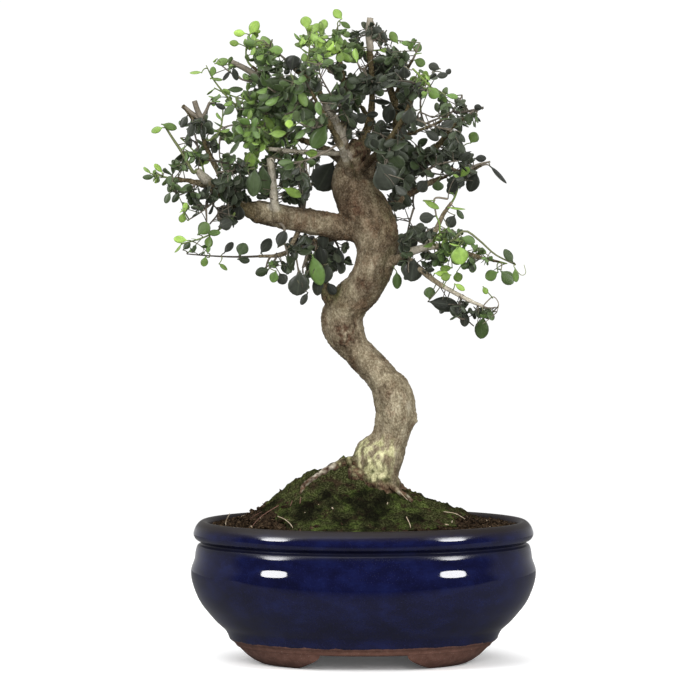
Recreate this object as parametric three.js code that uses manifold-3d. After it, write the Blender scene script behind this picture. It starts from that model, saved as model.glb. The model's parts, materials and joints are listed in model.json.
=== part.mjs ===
// An olive bonsai in its oval glazed pot, in millimetres, +Z up.
// While the pieces are made, the middle of the pot is x = 0, y = 0 and its feet stand at z = 0.
// Its long side runs along X, and its front faces -Y. The finished group is then moved sideways,
// so that its origin is under the middle of the whole part's box.
import * as THREE from "three";
import { mergeVertices } from "three/addons/utils/BufferGeometryUtils.js";
import Module from "manifold-3d";

const wasm = await Module();
wasm.setup();

// ---------------------------------------------------------------- driving dimensions

const GAP = 0.3; // left between pieces that touch
const CROSSING = 1e-4; // cubic millimetres that two leaves of a shoot share where they cross
const DEPTH_SHARE = 0.775; // the oval's depth over its width
const POT_SEGMENTS = 28;

// The pot's section, as half widths of the oval and heights.
const FOOT = { inner: 50, outer: 61, underFloor: 9.4, archTop: 9 };
const WALL_OUTSIDE = [
  [70, 4],
  [75.5, 10.5],
  [79, 13.5],
  [83.4, 20.4],
  [90, 27],
  [96.5, 35.5],
  [101.4, 46],
  [102.4, 53.3],
  [100.6, 63],
  [97.9, 69.5],
  [100.4, 73],
  [100.9, 77],
  [100, 82],
  [96.6, 84.4],
];
const WALL_INSIDE = [
  [92.2, 82.5],
  [92, 70],
  [94.2, 54],
  [91, 38],
  [80, 23],
  [66, 16.5],
];
const FLOOR_TOP = 16.5;
const FRONT_ARCH = { atFloor: 37, atTop: 23 }; // half widths of the openings between the feet
const SIDE_ARCH = { atFloor: 18, atTop: 12 };
const DRAIN_HOLE = { radius: 6, x: 32 };
const DRAIN_MESH = { side: 22, thick: 1, bars: 3, barWidth: 3 };

// The ground: level soil with a high mound left of the trunk and a low one right of it,
// and a cushion of moss on the middle of it.
const SOIL_LEVEL = 79.5;
const MOUNDS = [
  { height: 27, x: -28, alongX: 36, alongY: 34 },
  { height: 15, x: 24, alongX: 42, alongY: 40 },
];
const GROUND_RINGS = [1, 0.86, 0.7, 0.5, 0.28, 0]; // shares of the way to the pot's wall
const GROUND_REACH = WALL_INSIDE[0][0] - 4 * GAP; // half width of the soil at the pot's wall
const MOSS_RING = 2; // the ring where the moss ends
const GROUND_SEGMENTS = 18;
const GROUND_WAVE = { fives: 0.1, sevens: 0.06 }; // how far its rings wave in and out, as shares
const GROUND_ROUNDING = 0.7; // how much rounder than the pot its inner rings are
const MOSS = { thick: 3.4, edge: 1.2, lump: 0.7, below: 5 };

// The trunk's centre line and radius, from the end of the root ball to the sawn top.
const TRUNK = [
  [11, 0, 60, 11],
  [10.5, 0, 74, 17],
  [10, 0, 91, 18.4],
  [9, 0, 101, 16.9],
  [8, 0, 112, 15.7],
  [9, 0, 122, 14.8],
  [13, -1, 132, 13.3],
  [17, -2, 142, 12.1],
  [19, -3, 151, 11.6],
  [17, -3, 161, 11.3],
  [12, -1, 169, 9.8],
  [3, 2, 178, 9.2],
  [-6, 4, 187, 10.1],
  [-12, 5, 197, 12.1],
  [-13, 5, 205, 12.1],
  [-9, 3, 214, 11],
  [-1, 0, 222, 10.4],
  [4, -2, 231, 11],
  [7, -2, 241, 11.9],
  [7, -1, 251, 13.3],
  [3, 0, 263, 13.9],
  [-4, 1, 275, 13.3],
  [-9, 2, 284, 10.7],
  [-8, 3, 293, 8.3],
  [-4, 4, 302, 7.4],
  [-1, 5, 308, 6.6],
];
const TRUNK_SIDES = 11;
const FLUTE = { share: 0.05, lobes: 3, twist: 0.0188 }; // shallow ridges that wind round the trunk

// Each root and branch: the points of its centre line, and its radius at both ends.
const ROOTS = {
  root_left: {
    radii: [5, 1.6],
    route: [[4, -8, 110], [-12, -16, 108], [-26, -20, 105], [-38, -21, 101], [-48, -22, 96], [-57, -23, 87]],
  },
  root_right: {
    radii: [5, 1.8],
    route: [[16, -6, 108], [24, -10, 101], [31, -14, 96], [38, -18, 88]],
  },
  root_front: {
    radii: [4.5, 1.8],
    route: [[8, -10, 107], [4, -22, 99], [-2, -31, 94], [-6, -39, 85]],
  },
  root_back_left: {
    radii: [5, 1.8],
    route: [[4, 8, 108], [-10, 18, 104], [-24, 26, 99], [-37, 33, 89]],
  },
  root_back_right: {
    radii: [4.5, 1.8],
    route: [[16, 8, 106], [25, 17, 98], [33, 25, 92], [39, 31, 84]],
  },
};
const BRANCHES = {
  left_main: {
    radii: [7.4, 6.2],
    route: [[3, 0, 257], [-11, -3, 258], [-27, -6, 261], [-44, -8, 264], [-58, -10, 267], [-68, -11, 269]],
  },
  left_stub: {
    radii: [2.9, 2.3],
    route: [[-51, -9, 266], [-53, -12, 282], [-55, -14, 300]],
  },
  left_bar: {
    radii: [1.5, 0.9],
    route: [[-7, 3, 301], [-20, 0, 302], [-38, -8, 303], [-56, -15, 305]],
  },
  left_fork: {
    radii: [3.8, 1.3],
    route: [[-64, -10, 268], [-76, -14, 274], [-88, -12, 281], [-99, -8, 285], [-112, -4, 287]],
  },
  left_rise: {
    radii: [2.6, 1.2],
    route: [[-76, -14, 274], [-86, -22, 293], [-93, -26, 308], [-97, -28, 324]],
  },
  left_spur: {
    radii: [1.5, 1.1],
    route: [[-94, -27, 313], [-101, -29, 324], [-106, -30, 331]],
  },
  left_cut: {
    radii: [2.1, 1.8],
    route: [[-87, -12, 281], [-94, -17, 288], [-98, -20, 293]],
  },
  left_under: {
    radii: [1.7, 0.9],
    route: [[-36, -6, 262], [-42, -5, 249], [-48, -2, 242], [-62, 0, 241]],
  },
  crown_left: {
    radii: [4.6, 1.6],
    route: [[-8, 2, 290], [-13, -4, 311], [-18, -10, 324], [-27, -18, 339], [-38, -26, 351], [-46, -31, 358]],
  },
  crown_west: {
    radii: [2.3, 1.1],
    route: [[-19, -11, 326], [-36, -2, 334], [-54, 8, 344], [-66, 13, 353]],
  },
  crown_mid: {
    radii: [2.7, 1.2],
    route: [[-13, -5, 312], [-10, 2, 333], [-13, 8, 351], [-15, 10, 366]],
  },
  crown_top: {
    radii: [3.4, 1.8],
    route: [[-3, 5, 302], [4, 12, 322], [5, 16, 342], [4, 18, 362], [4, 18, 379]],
  },
  right_up: {
    radii: [5.2, 2.2],
    route: [[-3, 2, 287], [12, 10, 295], [19, 14, 306], [20, 16, 322], [17, 16, 337], [11, 14, 349]],
  },
  right_crest: {
    radii: [1.9, 1],
    route: [[18, 16, 332], [23, 10, 346], [29, 4, 357]],
  },
  right_arm: {
    radii: [3.1, 1.2],
    route: [[17, 12, 301], [29, 8, 300], [42, 0, 305], [52, -6, 317], [62, -8, 325]],
  },
  right_thin: {
    radii: [1.5, 0.9],
    route: [[19, 14, 309], [31, 24, 314], [44, 32, 319], [51, 36, 324]],
  },
  right_outer: {
    radii: [1.9, 1],
    route: [[29, 8, 300], [45, 14, 295], [60, 18, 290], [70, 20, 294]],
  },
  right_low: {
    radii: [3.4, 1.1],
    route: [[7, -2, 232], [22, -12, 241], [32, -20, 246], [46, -26, 248], [63, -30, 243], [80, -30, 239]],
  },
  right_down: {
    radii: [2, 1],
    route: [[24, -14, 242], [36, -22, 232], [46, -26, 225], [61, -30, 217], [70, -32, 213]],
  },
  right_rise: {
    radii: [1.9, 1],
    route: [[36, -22, 246], [42, -14, 256], [47, -8, 266], [52, -5, 273]],
  },
  back_main: {
    radii: [4.2, 1.4],
    route: [[-2, 2, 276], [5, 28, 289], [10, 50, 300], [7, 60, 315], [-1, 64, 328]],
  },
  back_left: {
    radii: [3.4, 1.2],
    route: [[-8, 4, 291], [-20, 30, 302], [-38, 46, 309], [-57, 53, 314], [-70, 55, 317]],
  },
  back_low: {
    radii: [3.2, 1.2],
    route: [[5, 2, 246], [-8, 30, 251], [-27, 44, 248], [-42, 50, 243]],
  },
  back_right: {
    radii: [3.2, 1.2],
    route: [[5, 4, 264], [23, 32, 274], [38, 48, 282], [51, 54, 287]],
  },
  front_up: {
    radii: [3.2, 1.2],
    route: [[-6, 0, 286], [-14, -32, 308], [-24, -46, 327], [-32, -52, 342]],
  },
  front_right: {
    radii: [3, 1.2],
    route: [[-2, 2, 292], [12, -28, 307], [24, -42, 325], [28, -47, 338]],
  },
};

// The leafy shoots: the branch that each grows from, how far along it, where its tip is,
// its leaves' length, and where the tips of its side twigs are.
const OLD_SHOOTS = [
  ["left_fork", 0.75, [-119, -18, 275], 9.5, [[-112, -30, 290]]],
  ["left_fork", 0.42, [-106, -28, 262], 9, [[-92, -36, 258]]],
  ["left_rise", 1, [-112, -24, 340], 8.5, [[-98, -36, 343]]],
  ["left_rise", 0.45, [-108, 14, 302], 9, [[-102, 10, 318]]],
  ["left_rise", 0.25, [-74, -38, 301], 10, [[-88, -42, 292]]],
  ["crown_west", 0.85, [-89, 22, 358], 9, []],
  ["crown_west", 0.4, [-74, -8, 328], 9.5, [[-58, -16, 318]]],
  ["crown_left", 1, [-61, -38, 371], 9, [[-48, -40, 377]]],
  ["crown_left", 0.6, [-56, -50, 342], 10, [[-46, -52, 326]]],
  ["crown_left", 0.45, [-14, -46, 338], 9.5, [[-26, -46, 350]]],
  ["back_left", 1, [-94, 58, 311], 10, [[-86, 46, 298]]],
  ["back_left", 0.6, [-66, 68, 333], 9.5, [[-48, 68, 326]]],
  ["left_under", 0.4, [-38, -24, 226], 13, []],
  ["left_under", 1, [-112, 4, 243], 8.5, []],
  ["left_under", 0.75, [-66, -14, 231], 9, []],
  ["back_low", 1, [-66, 58, 236], 10, [[-58, 44, 226]]],
  ["back_low", 0.5, [-14, 54, 228], 10, [[-26, 62, 236]]],
  ["crown_mid", 0.6, [-30, 0, 366], 9, [[-24, 14, 374]]],
  ["crown_top", 0.85, [15, 26, 376], 9, [[22, 16, 368]]],
  ["crown_top", 0.55, [-6, 42, 364], 9, [[8, 46, 360]]],
  ["right_crest", 1, [34, 0, 369], 9, []],
  ["right_up", 0.85, [-4, -16, 356], 9.5, [[4, -22, 346]]],
  ["right_up", 0.55, [40, -12, 328], 9.5, [[30, -18, 336]]],
  ["right_thin", 1, [60, 42, 338], 9, []],
  ["right_thin", 0.5, [38, 44, 348], 9, []],
  ["right_arm", 1, [75, -10, 332], 9.5, []],
  ["right_arm", 0.35, [50, -30, 290], 10, [[56, -18, 298]]],
  ["right_outer", 1, [86, 22, 280], 12, []],
  ["front_right", 1, [36, -64, 341], 9.5, [[20, -62, 346]]],
  ["front_right", 0.45, [10, -50, 288], 14, []],
  ["front_right", 0.7, [54, -50, 316], 10, [[44, -60, 324]]],
  ["front_up", 1, [-38, -68, 354], 9, [[-24, -66, 356]]],
  ["front_up", 0.6, [-38, -68, 322], 10, [[-20, -68, 328]]],
  ["front_up", 0.35, [-42, -46, 297], 11, [[-32, -54, 308]]],
  ["back_main", 1, [-14, 76, 344], 9.5, []],
  ["back_main", 0.6, [34, 74, 322], 10, [[26, 70, 334]]],
  ["back_right", 1, [72, 62, 300], 10, [[58, 66, 308]]],
  ["back_right", 0.5, [36, 66, 260], 10, [[26, 60, 250]]],
  ["right_low", 0.3, [30, -42, 225], 11, []],
  ["right_down", 1, [86, -38, 218], 10, []],
  ["right_down", 0.7, [68, -34, 199], 12.5, [[54, -40, 208]]],
];
const YOUNG_SHOOTS = [
  ["left_fork", 1, [-126, 2, 290], 7, []],
  ["left_fork", 0.66, [-121, -4, 320], 7, []],
  ["left_fork", 0.2, [-107, -38, 250], 7.5, []],
  ["left_rise", 0.7, [-84, -34, 342], 7.5, []],
  ["crown_west", 1, [-66, 10, 376], 7.5, []],
  ["crown_west", 0.62, [-99, 26, 346], 7, []],
  ["crown_left", 0.8, [-34, -34, 378], 7.5, []],
  ["left_bar", 1, [-72, -24, 311], 8, [[-68, -30, 322]]],
  ["crown_mid", 1, [-15, 8, 379], 7.5, []],
  ["right_crest", 0.5, [44, -10, 352], 7.5, []],
  ["right_rise", 1, [57, -8, 288], 8, []],
  ["right_low", 1, [95, -36, 237], 8.5, [[90, -28, 247]]],
  ["right_low", 0.55, [50, -46, 260], 8.5, [[62, -46, 252]]],
];
const STEM = {
  baseRadius: 0.9,
  tipRadius: 0.55,
  bare: 5.5, // length without leaves at its foot
  pairSpacing: 8.2,
  node: 1.5, // length of the stretch that bears a pair
  bend: 0.4, // how far along it still grows the way it set out
  sideLean: 0.8, // how much a side twig leans towards the tip
};
const BLADE = { widthShare: 0.68, thick: 1, droop: 0.14, spread: 62, tipSpread: 38 };
const BLADE_SCATTER = { spread: 24, hang: 0.12, face: 1.1, length: 0.32, width: 0.2 };
const SEED_STEP = 7919; // between the random draws of one shoot and the next
const LIGHT = { above: 0.8, front: 0.25, beyond: 0.4 }; // where the faces of the leaves turn to
const BLADE_STATIONS = [
  { share: 0.45, half: 0.5, thick: 1 },
  { share: 0.82, half: 0.38, thick: 0.75 },
];

// ---------------------------------------------------------------- solids and meshes

// A closed geometry as a solid: equal corners are merged, and faces that collapse are left out.
function solidOf(geometry) {
  const bare = geometry.clone();
  bare.deleteAttribute("normal");
  bare.deleteAttribute("uv");
  const merged = mergeVertices(bare, 1e-4);
  const corners = merged.index.array;
  const kept = [];
  for (let i = 0; i < corners.length; i += 3) {
    const [a, b, c] = [corners[i], corners[i + 1], corners[i + 2]];
    if (a !== b && b !== c && c !== a) kept.push(a, b, c);
  }
  return new wasm.Manifold(
    new wasm.Mesh({
      numProp: 3,
      vertProperties: merged.attributes.position.array,
      triVerts: new Uint32Array(kept),
    }),
  );
}

function geometryOf(solid) {
  const mesh = solid.getMesh();
  const geometry = new THREE.BufferGeometry();
  geometry.setAttribute("position", new THREE.BufferAttribute(mesh.vertProperties, 3));
  geometry.setIndex(new THREE.BufferAttribute(mesh.triVerts, 1));
  return geometry;
}

// Joins solids two by two, which is quicker than one after the other.
function joined(solids) {
  if (solids.length === 1) return solids[0];
  const half = Math.ceil(solids.length / 2);
  return joined(solids.slice(0, half)).add(joined(solids.slice(half)));
}

// The largest body of a solid: what a cut leaves loose is dropped.
function largest(solid) {
  return solid.decompose().reduce((a, b) => (a.volume() >= b.volume() ? a : b));
}

// A closed skin over rings of points, each turning the same way round the direction of growth.
// It ends in a flat cap, or in a point where one is given.
function loft(rings, point) {
  const sides = rings[0].length;
  const corners = rings.flat();
  if (point) corners.push(point);
  const faces = [];
  for (let j = 1; j < sides - 1; j++) faces.push(0, j + 1, j);
  for (let i = 0; i < rings.length - 1; i++)
    for (let j = 0; j < sides; j++) {
      const [a, b] = [i * sides + j, i * sides + ((j + 1) % sides)];
      faces.push(a, b, b + sides, a, b + sides, a + sides);
    }
  const last = (rings.length - 1) * sides;
  for (let j = 0; j < sides && point; j++) faces.push(last + j, last + ((j + 1) % sides), corners.length - 1);
  for (let j = 1; j < sides - 1 && !point; j++) faces.push(last, last + j, last + j + 1);
  return new THREE.BufferGeometry().setFromPoints(corners).setIndex(faces);
}

const vector = (point) => new THREE.Vector3(...point);

function routeOf(points) {
  return new THREE.CatmullRomCurve3(points.map(vector), false, "catmullrom", 0.5);
}

// The direction of a curve, by its index and not by its length.
function tangentOf(curve, t) {
  const [before, after] = [Math.max(0, t - 0.001), Math.min(1, t + 0.001)];
  return curve.getPoint(after).sub(curve.getPoint(before)).normalize();
}

// A limb along a curve, with the radius that radiusAt gives at each share t and angle.
function limb(curve, radiusAt, sides, steps) {
  const rings = [];
  let across = new THREE.Vector3(0, 1, 0);
  for (let i = 0; i <= steps; i++) {
    const t = i / steps;
    const along = tangentOf(curve, t);
    if (i === 0 && Math.abs(along.y) > 0.9) across.set(1, 0, 0);
    across = across.addScaledVector(along, -across.dot(along)).normalize();
    const up = along.clone().cross(across);
    const ring = [];
    for (let j = 0; j < sides; j++) {
      const angle = (2 * Math.PI * j) / sides;
      const radius = radiusAt(t, angle);
      ring.push(
        curve
          .getPoint(t)
          .addScaledVector(across, radius * Math.cos(angle))
          .addScaledVector(up, radius * Math.sin(angle)),
      );
    }
    rings.push(ring);
  }
  return loft(rings);
}

// ---------------------------------------------------------------- pot

// A turned body whose section is a list of half widths and heights, pressed to the oval.
function turned(section, segments) {
  const profile = section.map(([radius, height]) => new THREE.Vector2(radius, height));
  const geometry = new THREE.LatheGeometry(profile, segments);
  geometry.rotateX(Math.PI / 2);
  geometry.scale(1, DEPTH_SHARE, 1);
  return geometry;
}

// The opening between two feet, as a prism along Y that reaches through the pot's foot ring.
function arch({ atFloor, atTop }) {
  const below = -1;
  const outline = new THREE.Shape();
  outline.moveTo(-atFloor, below);
  outline.lineTo(atFloor, below);
  outline.lineTo(0.55 * atFloor + 0.45 * atTop, 0.7 * FOOT.archTop);
  outline.lineTo(atTop, FOOT.archTop);
  outline.lineTo(-atTop, FOOT.archTop);
  outline.lineTo(-0.55 * atFloor - 0.45 * atTop, 0.7 * FOOT.archTop);
  outline.closePath();
  const length = 3 * FOOT.outer;
  const geometry = new THREE.ExtrudeGeometry(outline, { depth: length, bevelEnabled: false });
  geometry.translate(0, 0, -length / 2);
  geometry.rotateX(Math.PI / 2);
  return geometry;
}

function drainHole(x) {
  const height = 3 * FLOOR_TOP;
  const geometry = new THREE.CylinderGeometry(DRAIN_HOLE.radius, DRAIN_HOLE.radius, height, 20);
  geometry.rotateX(Math.PI / 2);
  geometry.translate(x, 0, 0);
  return geometry;
}

function potSolid() {
  const section = [
    [0, FOOT.underFloor],
    [FOOT.inner + 2, FOOT.underFloor],
    [FOOT.inner, 0],
    [FOOT.outer, 0],
    ...WALL_OUTSIDE,
    ...WALL_INSIDE,
    [0, FLOOR_TOP],
  ];
  const cuts = [
    solidOf(arch(FRONT_ARCH)),
    solidOf(arch(SIDE_ARCH).rotateZ(Math.PI / 2)),
    solidOf(drainHole(-DRAIN_HOLE.x)),
    solidOf(drainHole(DRAIN_HOLE.x)),
  ];
  return cuts.reduce((pot, cut) => pot.subtract(cut), solidOf(turned(section, POT_SEGMENTS)));
}

// A square of plastic netting that keeps the soil out of a drain hole.
function drainMesh(x) {
  const { side, thick, bars, barWidth } = DRAIN_MESH;
  const pitch = (side - barWidth) / (bars - 1);
  const strips = [];
  for (let i = 0; i < bars; i++) {
    const off = i * pitch - (side - barWidth) / 2;
    strips.push(solidOf(new THREE.BoxGeometry(side, barWidth, thick).translate(0, off, 0)));
    strips.push(solidOf(new THREE.BoxGeometry(barWidth, side, thick).translate(off, 0, 0)));
  }
  return geometryOf(joined(strips)).translate(x, 0, FLOOR_TOP + GAP + thick / 2);
}

// ---------------------------------------------------------------- ground

function moundAt(x, y) {
  return MOUNDS.reduce(
    (sum, m) => sum + m.height * Math.exp(-(((x - m.x) / m.alongX) ** 2) - (y / m.alongY) ** 2),
    0,
  );
}

// A turned body whose rings on top of the ground follow the mounds, raised by rise(share, x, y).
// Towards the middle its rings grow rounder than the pot, and they wave a little.
function groundSolid(sectionBelow, rings, rise) {
  const onTop = rings.map((share) => new THREE.Vector2(share * GROUND_REACH, SOIL_LEVEL));
  const section = [...sectionBelow, ...onTop];
  const geometry = new THREE.LatheGeometry(section, GROUND_SEGMENTS).rotateX(Math.PI / 2);
  const place = geometry.attributes.position;
  for (let i = 0; i < place.count; i++) {
    const [u, v, height] = [place.getX(i), place.getY(i), place.getZ(i)];
    const share = Math.hypot(u, v) / GROUND_REACH;
    const inner = height < SOIL_LEVEL - 1 ? 0 : Math.max(0, 1 - share);
    const angle = Math.atan2(v, u);
    const { fives, sevens } = GROUND_WAVE;
    const wave = 1 + inner * (fives * Math.sin(5 * angle) + sevens * Math.sin(7 * angle + 1));
    const [x, y] = [u * wave, v * wave * DEPTH_SHARE * (1 + GROUND_ROUNDING * inner)];
    const follows = height > SOIL_LEVEL - 1 ? moundAt(x, y) : 0;
    place.setXYZ(i, x, y, height + follows + rise(share, x, y, height));
  }
  return solidOf(geometry);
}

// The soil fills the pot's inside, a gap away from it, and rises to the mounds.
function soilSolid() {
  const wall = WALL_INSIDE.slice(1).reverse();
  const below = [new THREE.Vector2(0, FLOOR_TOP + GAP)];
  for (const [radius, height] of wall) below.push(new THREE.Vector2(radius - 3 * GAP, height + GAP));
  const soil = groundSolid(below, GROUND_RINGS, () => 0);
  const pocket = (x) => {
    const [side, height] = [DRAIN_MESH.side + 2 * GAP, DRAIN_MESH.thick + 2 * GAP];
    return solidOf(new THREE.BoxGeometry(side, side, height).translate(x, 0, FLOOR_TOP + (GAP + height) / 2));
  };
  return soil.subtract(pocket(-DRAIN_HOLE.x)).subtract(pocket(DRAIN_HOLE.x));
}

// The moss is a lumpy cushion on the middle of the soil, thin at its edge.
function mossSolid(soil) {
  const rings = GROUND_RINGS.slice(MOSS_RING);
  const [edgeShare] = rings;
  const base = SOIL_LEVEL - MOSS.below;
  const below = [new THREE.Vector2(0, base), new THREE.Vector2(edgeShare * GROUND_REACH, base)];
  const cushion = groundSolid(below, rings, (share, x, y, height) => {
    if (height < SOIL_LEVEL - 1) return 0;
    const inner = 1 - (share / edgeShare) ** 4;
    const lump = MOSS.lump * Math.sin(0.31 * x + 1) * Math.sin(0.27 * y + 0.5);
    return GAP + MOSS.edge + (MOSS.thick - MOSS.edge + lump) * inner;
  });
  return cushion.subtract(soil.translate(0, 0, GAP));
}

// ---------------------------------------------------------------- wood

// The trunk, its radius grown by extra where a hole for it is wanted.
function trunkSolid(extra) {
  const route = routeOf(TRUNK.map((station) => station.slice(0, 3)));
  const girth = routeOf(TRUNK.map((station) => [station[3], 0, 0]));
  const radiusAt = (t, angle) => {
    const wind = FLUTE.lobes * angle + FLUTE.twist * route.getPoint(t).z;
    return girth.getPoint(t).x * (1 + FLUTE.share * Math.cos(wind)) + extra;
  };
  return solidOf(limb(route, radiusAt, TRUNK_SIDES, TRUNK.length - 1));
}

function limbSolid({ radii, route }, extra) {
  const [first, last] = radii;
  const radiusAt = (t) => first + (last - first) * t + extra;
  return solidOf(limb(routeOf(route), radiusAt, first > 2.5 ? 6 : 4, route.length - 1));
}

// The living wood is one piece: root ball, surface roots, trunk and branches.
function woodSolid() {
  const limbs = [...Object.values(ROOTS), ...Object.values(BRANCHES)];
  return largest(joined([trunkSolid(0), ...limbs.map((one) => limbSolid(one, 0))]));
}

// What is taken out of the ground so that trunk and roots stand in it with a gap.
function rootHole() {
  const grown = GAP + 0.1;
  return joined([trunkSolid(grown), ...Object.values(ROOTS).map((one) => limbSolid(one, grown))]);
}

// ---------------------------------------------------------------- shoots

function seeded(seed) {
  let state = seed;
  return () => {
    state = (state * 48271) % 2147483647;
    return state / 2147483647;
  };
}

// The stem's line: it leaves the branch square to it, or goes on from the branch's end,
// and bends over to its tip.
function stemOf(branchName, share, tipPoint) {
  const { radii, route } = BRANCHES[branchName];
  const branch = routeOf(route);
  const tip = vector(tipPoint);
  const steps = route.length - 1;
  const step = Math.min(steps - 1, Math.floor(share * steps));
  const start = branch.getPoint(step / steps).lerp(branch.getPoint((step + 1) / steps), share * steps - step);
  const grain = tangentOf(branch, share);
  const out = tip.clone().sub(start);
  const clearance = GAP + 0.05;
  if (share === 1) {
    out.copy(grain);
    start.addScaledVector(grain, clearance);
  } else {
    out.addScaledVector(grain, -out.dot(grain)).normalize();
    start.addScaledVector(out, radii[0] + (radii[1] - radii[0]) * share + clearance);
  }
  return arcOf(start, out, tip);
}

// A line that sets out from start and bends over to tip.
function arcOf(start, direction, tip) {
  const bend = start.clone().addScaledVector(direction, STEM.bend * tip.distanceTo(start));
  return new THREE.QuadraticBezierCurve3(start, bend, tip);
}

// A leaf's own frame: along it, the way its face looks, and its size. The face turns to the light,
// which comes from above, from the front and from beyond the stem's tip.
function leafOf(foot, grain, outward, leafLength, spreadDegrees, draw) {
  const around = () => draw() - 0.5;
  const spread = THREE.MathUtils.degToRad(spreadDegrees + BLADE_SCATTER.spread * around());
  const along = grain.clone().multiplyScalar(Math.cos(spread)).addScaledVector(outward, Math.sin(spread));
  along.z -= BLADE_SCATTER.hang * draw();
  along.normalize();
  const face = new THREE.Vector3(around(), around(), around()).multiplyScalar(BLADE_SCATTER.face);
  face.add(new THREE.Vector3(grain.x, grain.y, 0).multiplyScalar(LIGHT.beyond));
  face.add(new THREE.Vector3(0, -LIGHT.front, LIGHT.above));
  face.addScaledVector(along, -face.dot(along)).normalize();
  const length = leafLength * (1 + BLADE_SCATTER.length * around());
  const width = length * BLADE.widthShare * (1 + BLADE_SCATTER.width * around());
  return { foot, along, face, across: along.clone().cross(face), length, width };
}

// A leaf is a keeled blade with three edges, widest past its middle and bent down at its tip.
// Extra grows it on every side.
function bladeRing({ foot, along, face, across, length, width }, { share, half, thick }, extra = 0) {
  const centre = foot.clone().addScaledVector(along, share * length);
  centre.addScaledVector(face, extra - BLADE.droop * share * share * length);
  const reach = half * width + extra;
  return [
    centre.clone().addScaledVector(across, reach),
    centre.clone().addScaledVector(face, -thick * BLADE.thick - 2 * extra),
    centre.clone().addScaledVector(across, -reach),
  ];
}

function bladeTip({ foot, along, face, length }, extra = 0) {
  return foot
    .clone()
    .addScaledVector(along, length + extra)
    .addScaledVector(face, -BLADE.droop * length - 0.3 * BLADE.thick);
}

// Adds a stem and its side twigs to a shoot's skin. The stem has four sides and a short stretch at
// each pair of leaves; each pair is turned a quarter from the pair below, and one more pair stands
// at the tip. A leaf knows the three corners of the skin that it grows from. A side twig takes the
// place of the leaf that looks its way.
function growStem(shoot, stem, foot, sideTips, leafLength, draw) {
  const { corners, faces } = shoot;
  const length = stem.getLength();
  const leafy = length - STEM.bare;
  const pairs = Math.max(1, Math.round(leafy / STEM.pairSpacing));
  const halfNode = STEM.node / 2 / length;
  const nodeAt = (pair) => (STEM.bare + (leafy * pair) / pairs) / length;
  const pairOfTwig = (order) => Math.floor(((order + 1) * pairs) / (sideTips.length + 1));
  const middleOf = (ring) =>
    ring.reduce((sum, corner) => sum.addScaledVector(corners[corner], 1 / ring.length), new THREE.Vector3());
  let offsets = foot.map((corner) => corners[corner].clone().sub(middleOf(foot)));
  const ringAt = (t) => {
    const grain = tangentOf(stem, t);
    offsets = offsets.map((offset) => offset.addScaledVector(grain, -offset.dot(grain)).normalize());
    const radius = STEM.baseRadius + (STEM.tipRadius - STEM.baseRadius) * t;
    return offsets.map((offset) => corners.push(stem.getPoint(t).addScaledVector(offset, radius)) - 1);
  };
  const outwardOf = (side) => offsets[side].clone().add(offsets[(side + 1) % 4]).normalize();
  const bear = (triangle, t, outward, spread) => {
    const leaf = leafOf(middleOf(triangle), tangentOf(stem, t), outward, leafLength, spread, draw);
    shoot.leaves.push({ triangle, ...leaf });
  };
  const twigs = [];
  let below = foot;
  const skinTo = (ring, open) => {
    for (let side = 0; side < 4; side++) {
      if (side === open) continue;
      const next = (side + 1) % 4;
      faces.push([below[side], below[next], ring[next]], [below[side], ring[next], ring[side]]);
    }
  };
  for (let pair = 0; pair < pairs; pair++) {
    const t = nodeAt(pair);
    const low = ringAt(t - halfNode);
    skinTo(low);
    below = low;
    const high = ringAt(t + halfNode);
    const order = sideTips.findIndex((_, i) => pairOfTwig(i) === pair);
    let open = -1;
    if (order >= 0) {
      const way = vector(sideTips[order]).sub(stem.getPoint(t));
      open = [0, 1, 2, 3].reduce((a, b) => (outwardOf(a).dot(way) >= outwardOf(b).dot(way) ? a : b));
      const next = (open + 1) % 4;
      const outward = outwardOf(open).addScaledVector(tangentOf(stem, t), STEM.sideLean).normalize();
      const twigFoot = [low[open], low[next], high[next], high[open]];
      twigs.push({ foot: twigFoot, line: arcOf(middleOf(twigFoot), outward, vector(sideTips[order])) });
    }
    skinTo(high, open);
    for (const side of [pair % 2, (pair % 2) + 2])
      if (side !== open)
        bear([low[side], low[(side + 1) % 4], high[(side + 1) % 4]], t, outwardOf(side), BLADE.spread);
    below = high;
  }
  const end = ringAt(1);
  skinTo(end);
  faces.push([end[0], end[1], end[2]], [end[0], end[2], end[3]]);
  bear([end[0], end[1], end[2]], 1, offsets[1], BLADE.tipSpread);
  bear([end[0], end[2], end[3]], 1, offsets[3], BLADE.tipSpread);
  for (const { foot: twigFoot, line } of twigs) growStem(shoot, line, twigFoot, [], leafLength, draw);
}

function shootOf(name, [branchName, share, tip, leafLength, sideTips], draw) {
  const stem = stemOf(branchName, share, tip);
  const grain = tangentOf(stem, 0);
  const level = new THREE.Vector3(0, 0, 1).cross(grain).normalize();
  const upright = grain.clone().cross(level);
  const corners = [level, upright, level.clone().negate(), upright.clone().negate()].map((offset) =>
    stem.getPoint(0).addScaledVector(offset, STEM.baseRadius),
  );
  const shoot = { name, corners, faces: [[0, 2, 1], [0, 3, 2]], leaves: [] };
  growStem(shoot, stem, [0, 1, 2, 3], sideTips, leafLength, draw);
  return shoot;
}

// A four-cornered stretch of skin as two faces, split so that it bulges outwards.
function bulging(corners, [a, b, c, d]) {
  const face = new THREE.Plane().setFromCoplanarPoints(corners[a], corners[b], corners[c]);
  return face.distanceToPoint(corners[d]) <= 0 ? [a, b, c, a, c, d] : [a, b, d, b, c, d];
}

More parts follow.
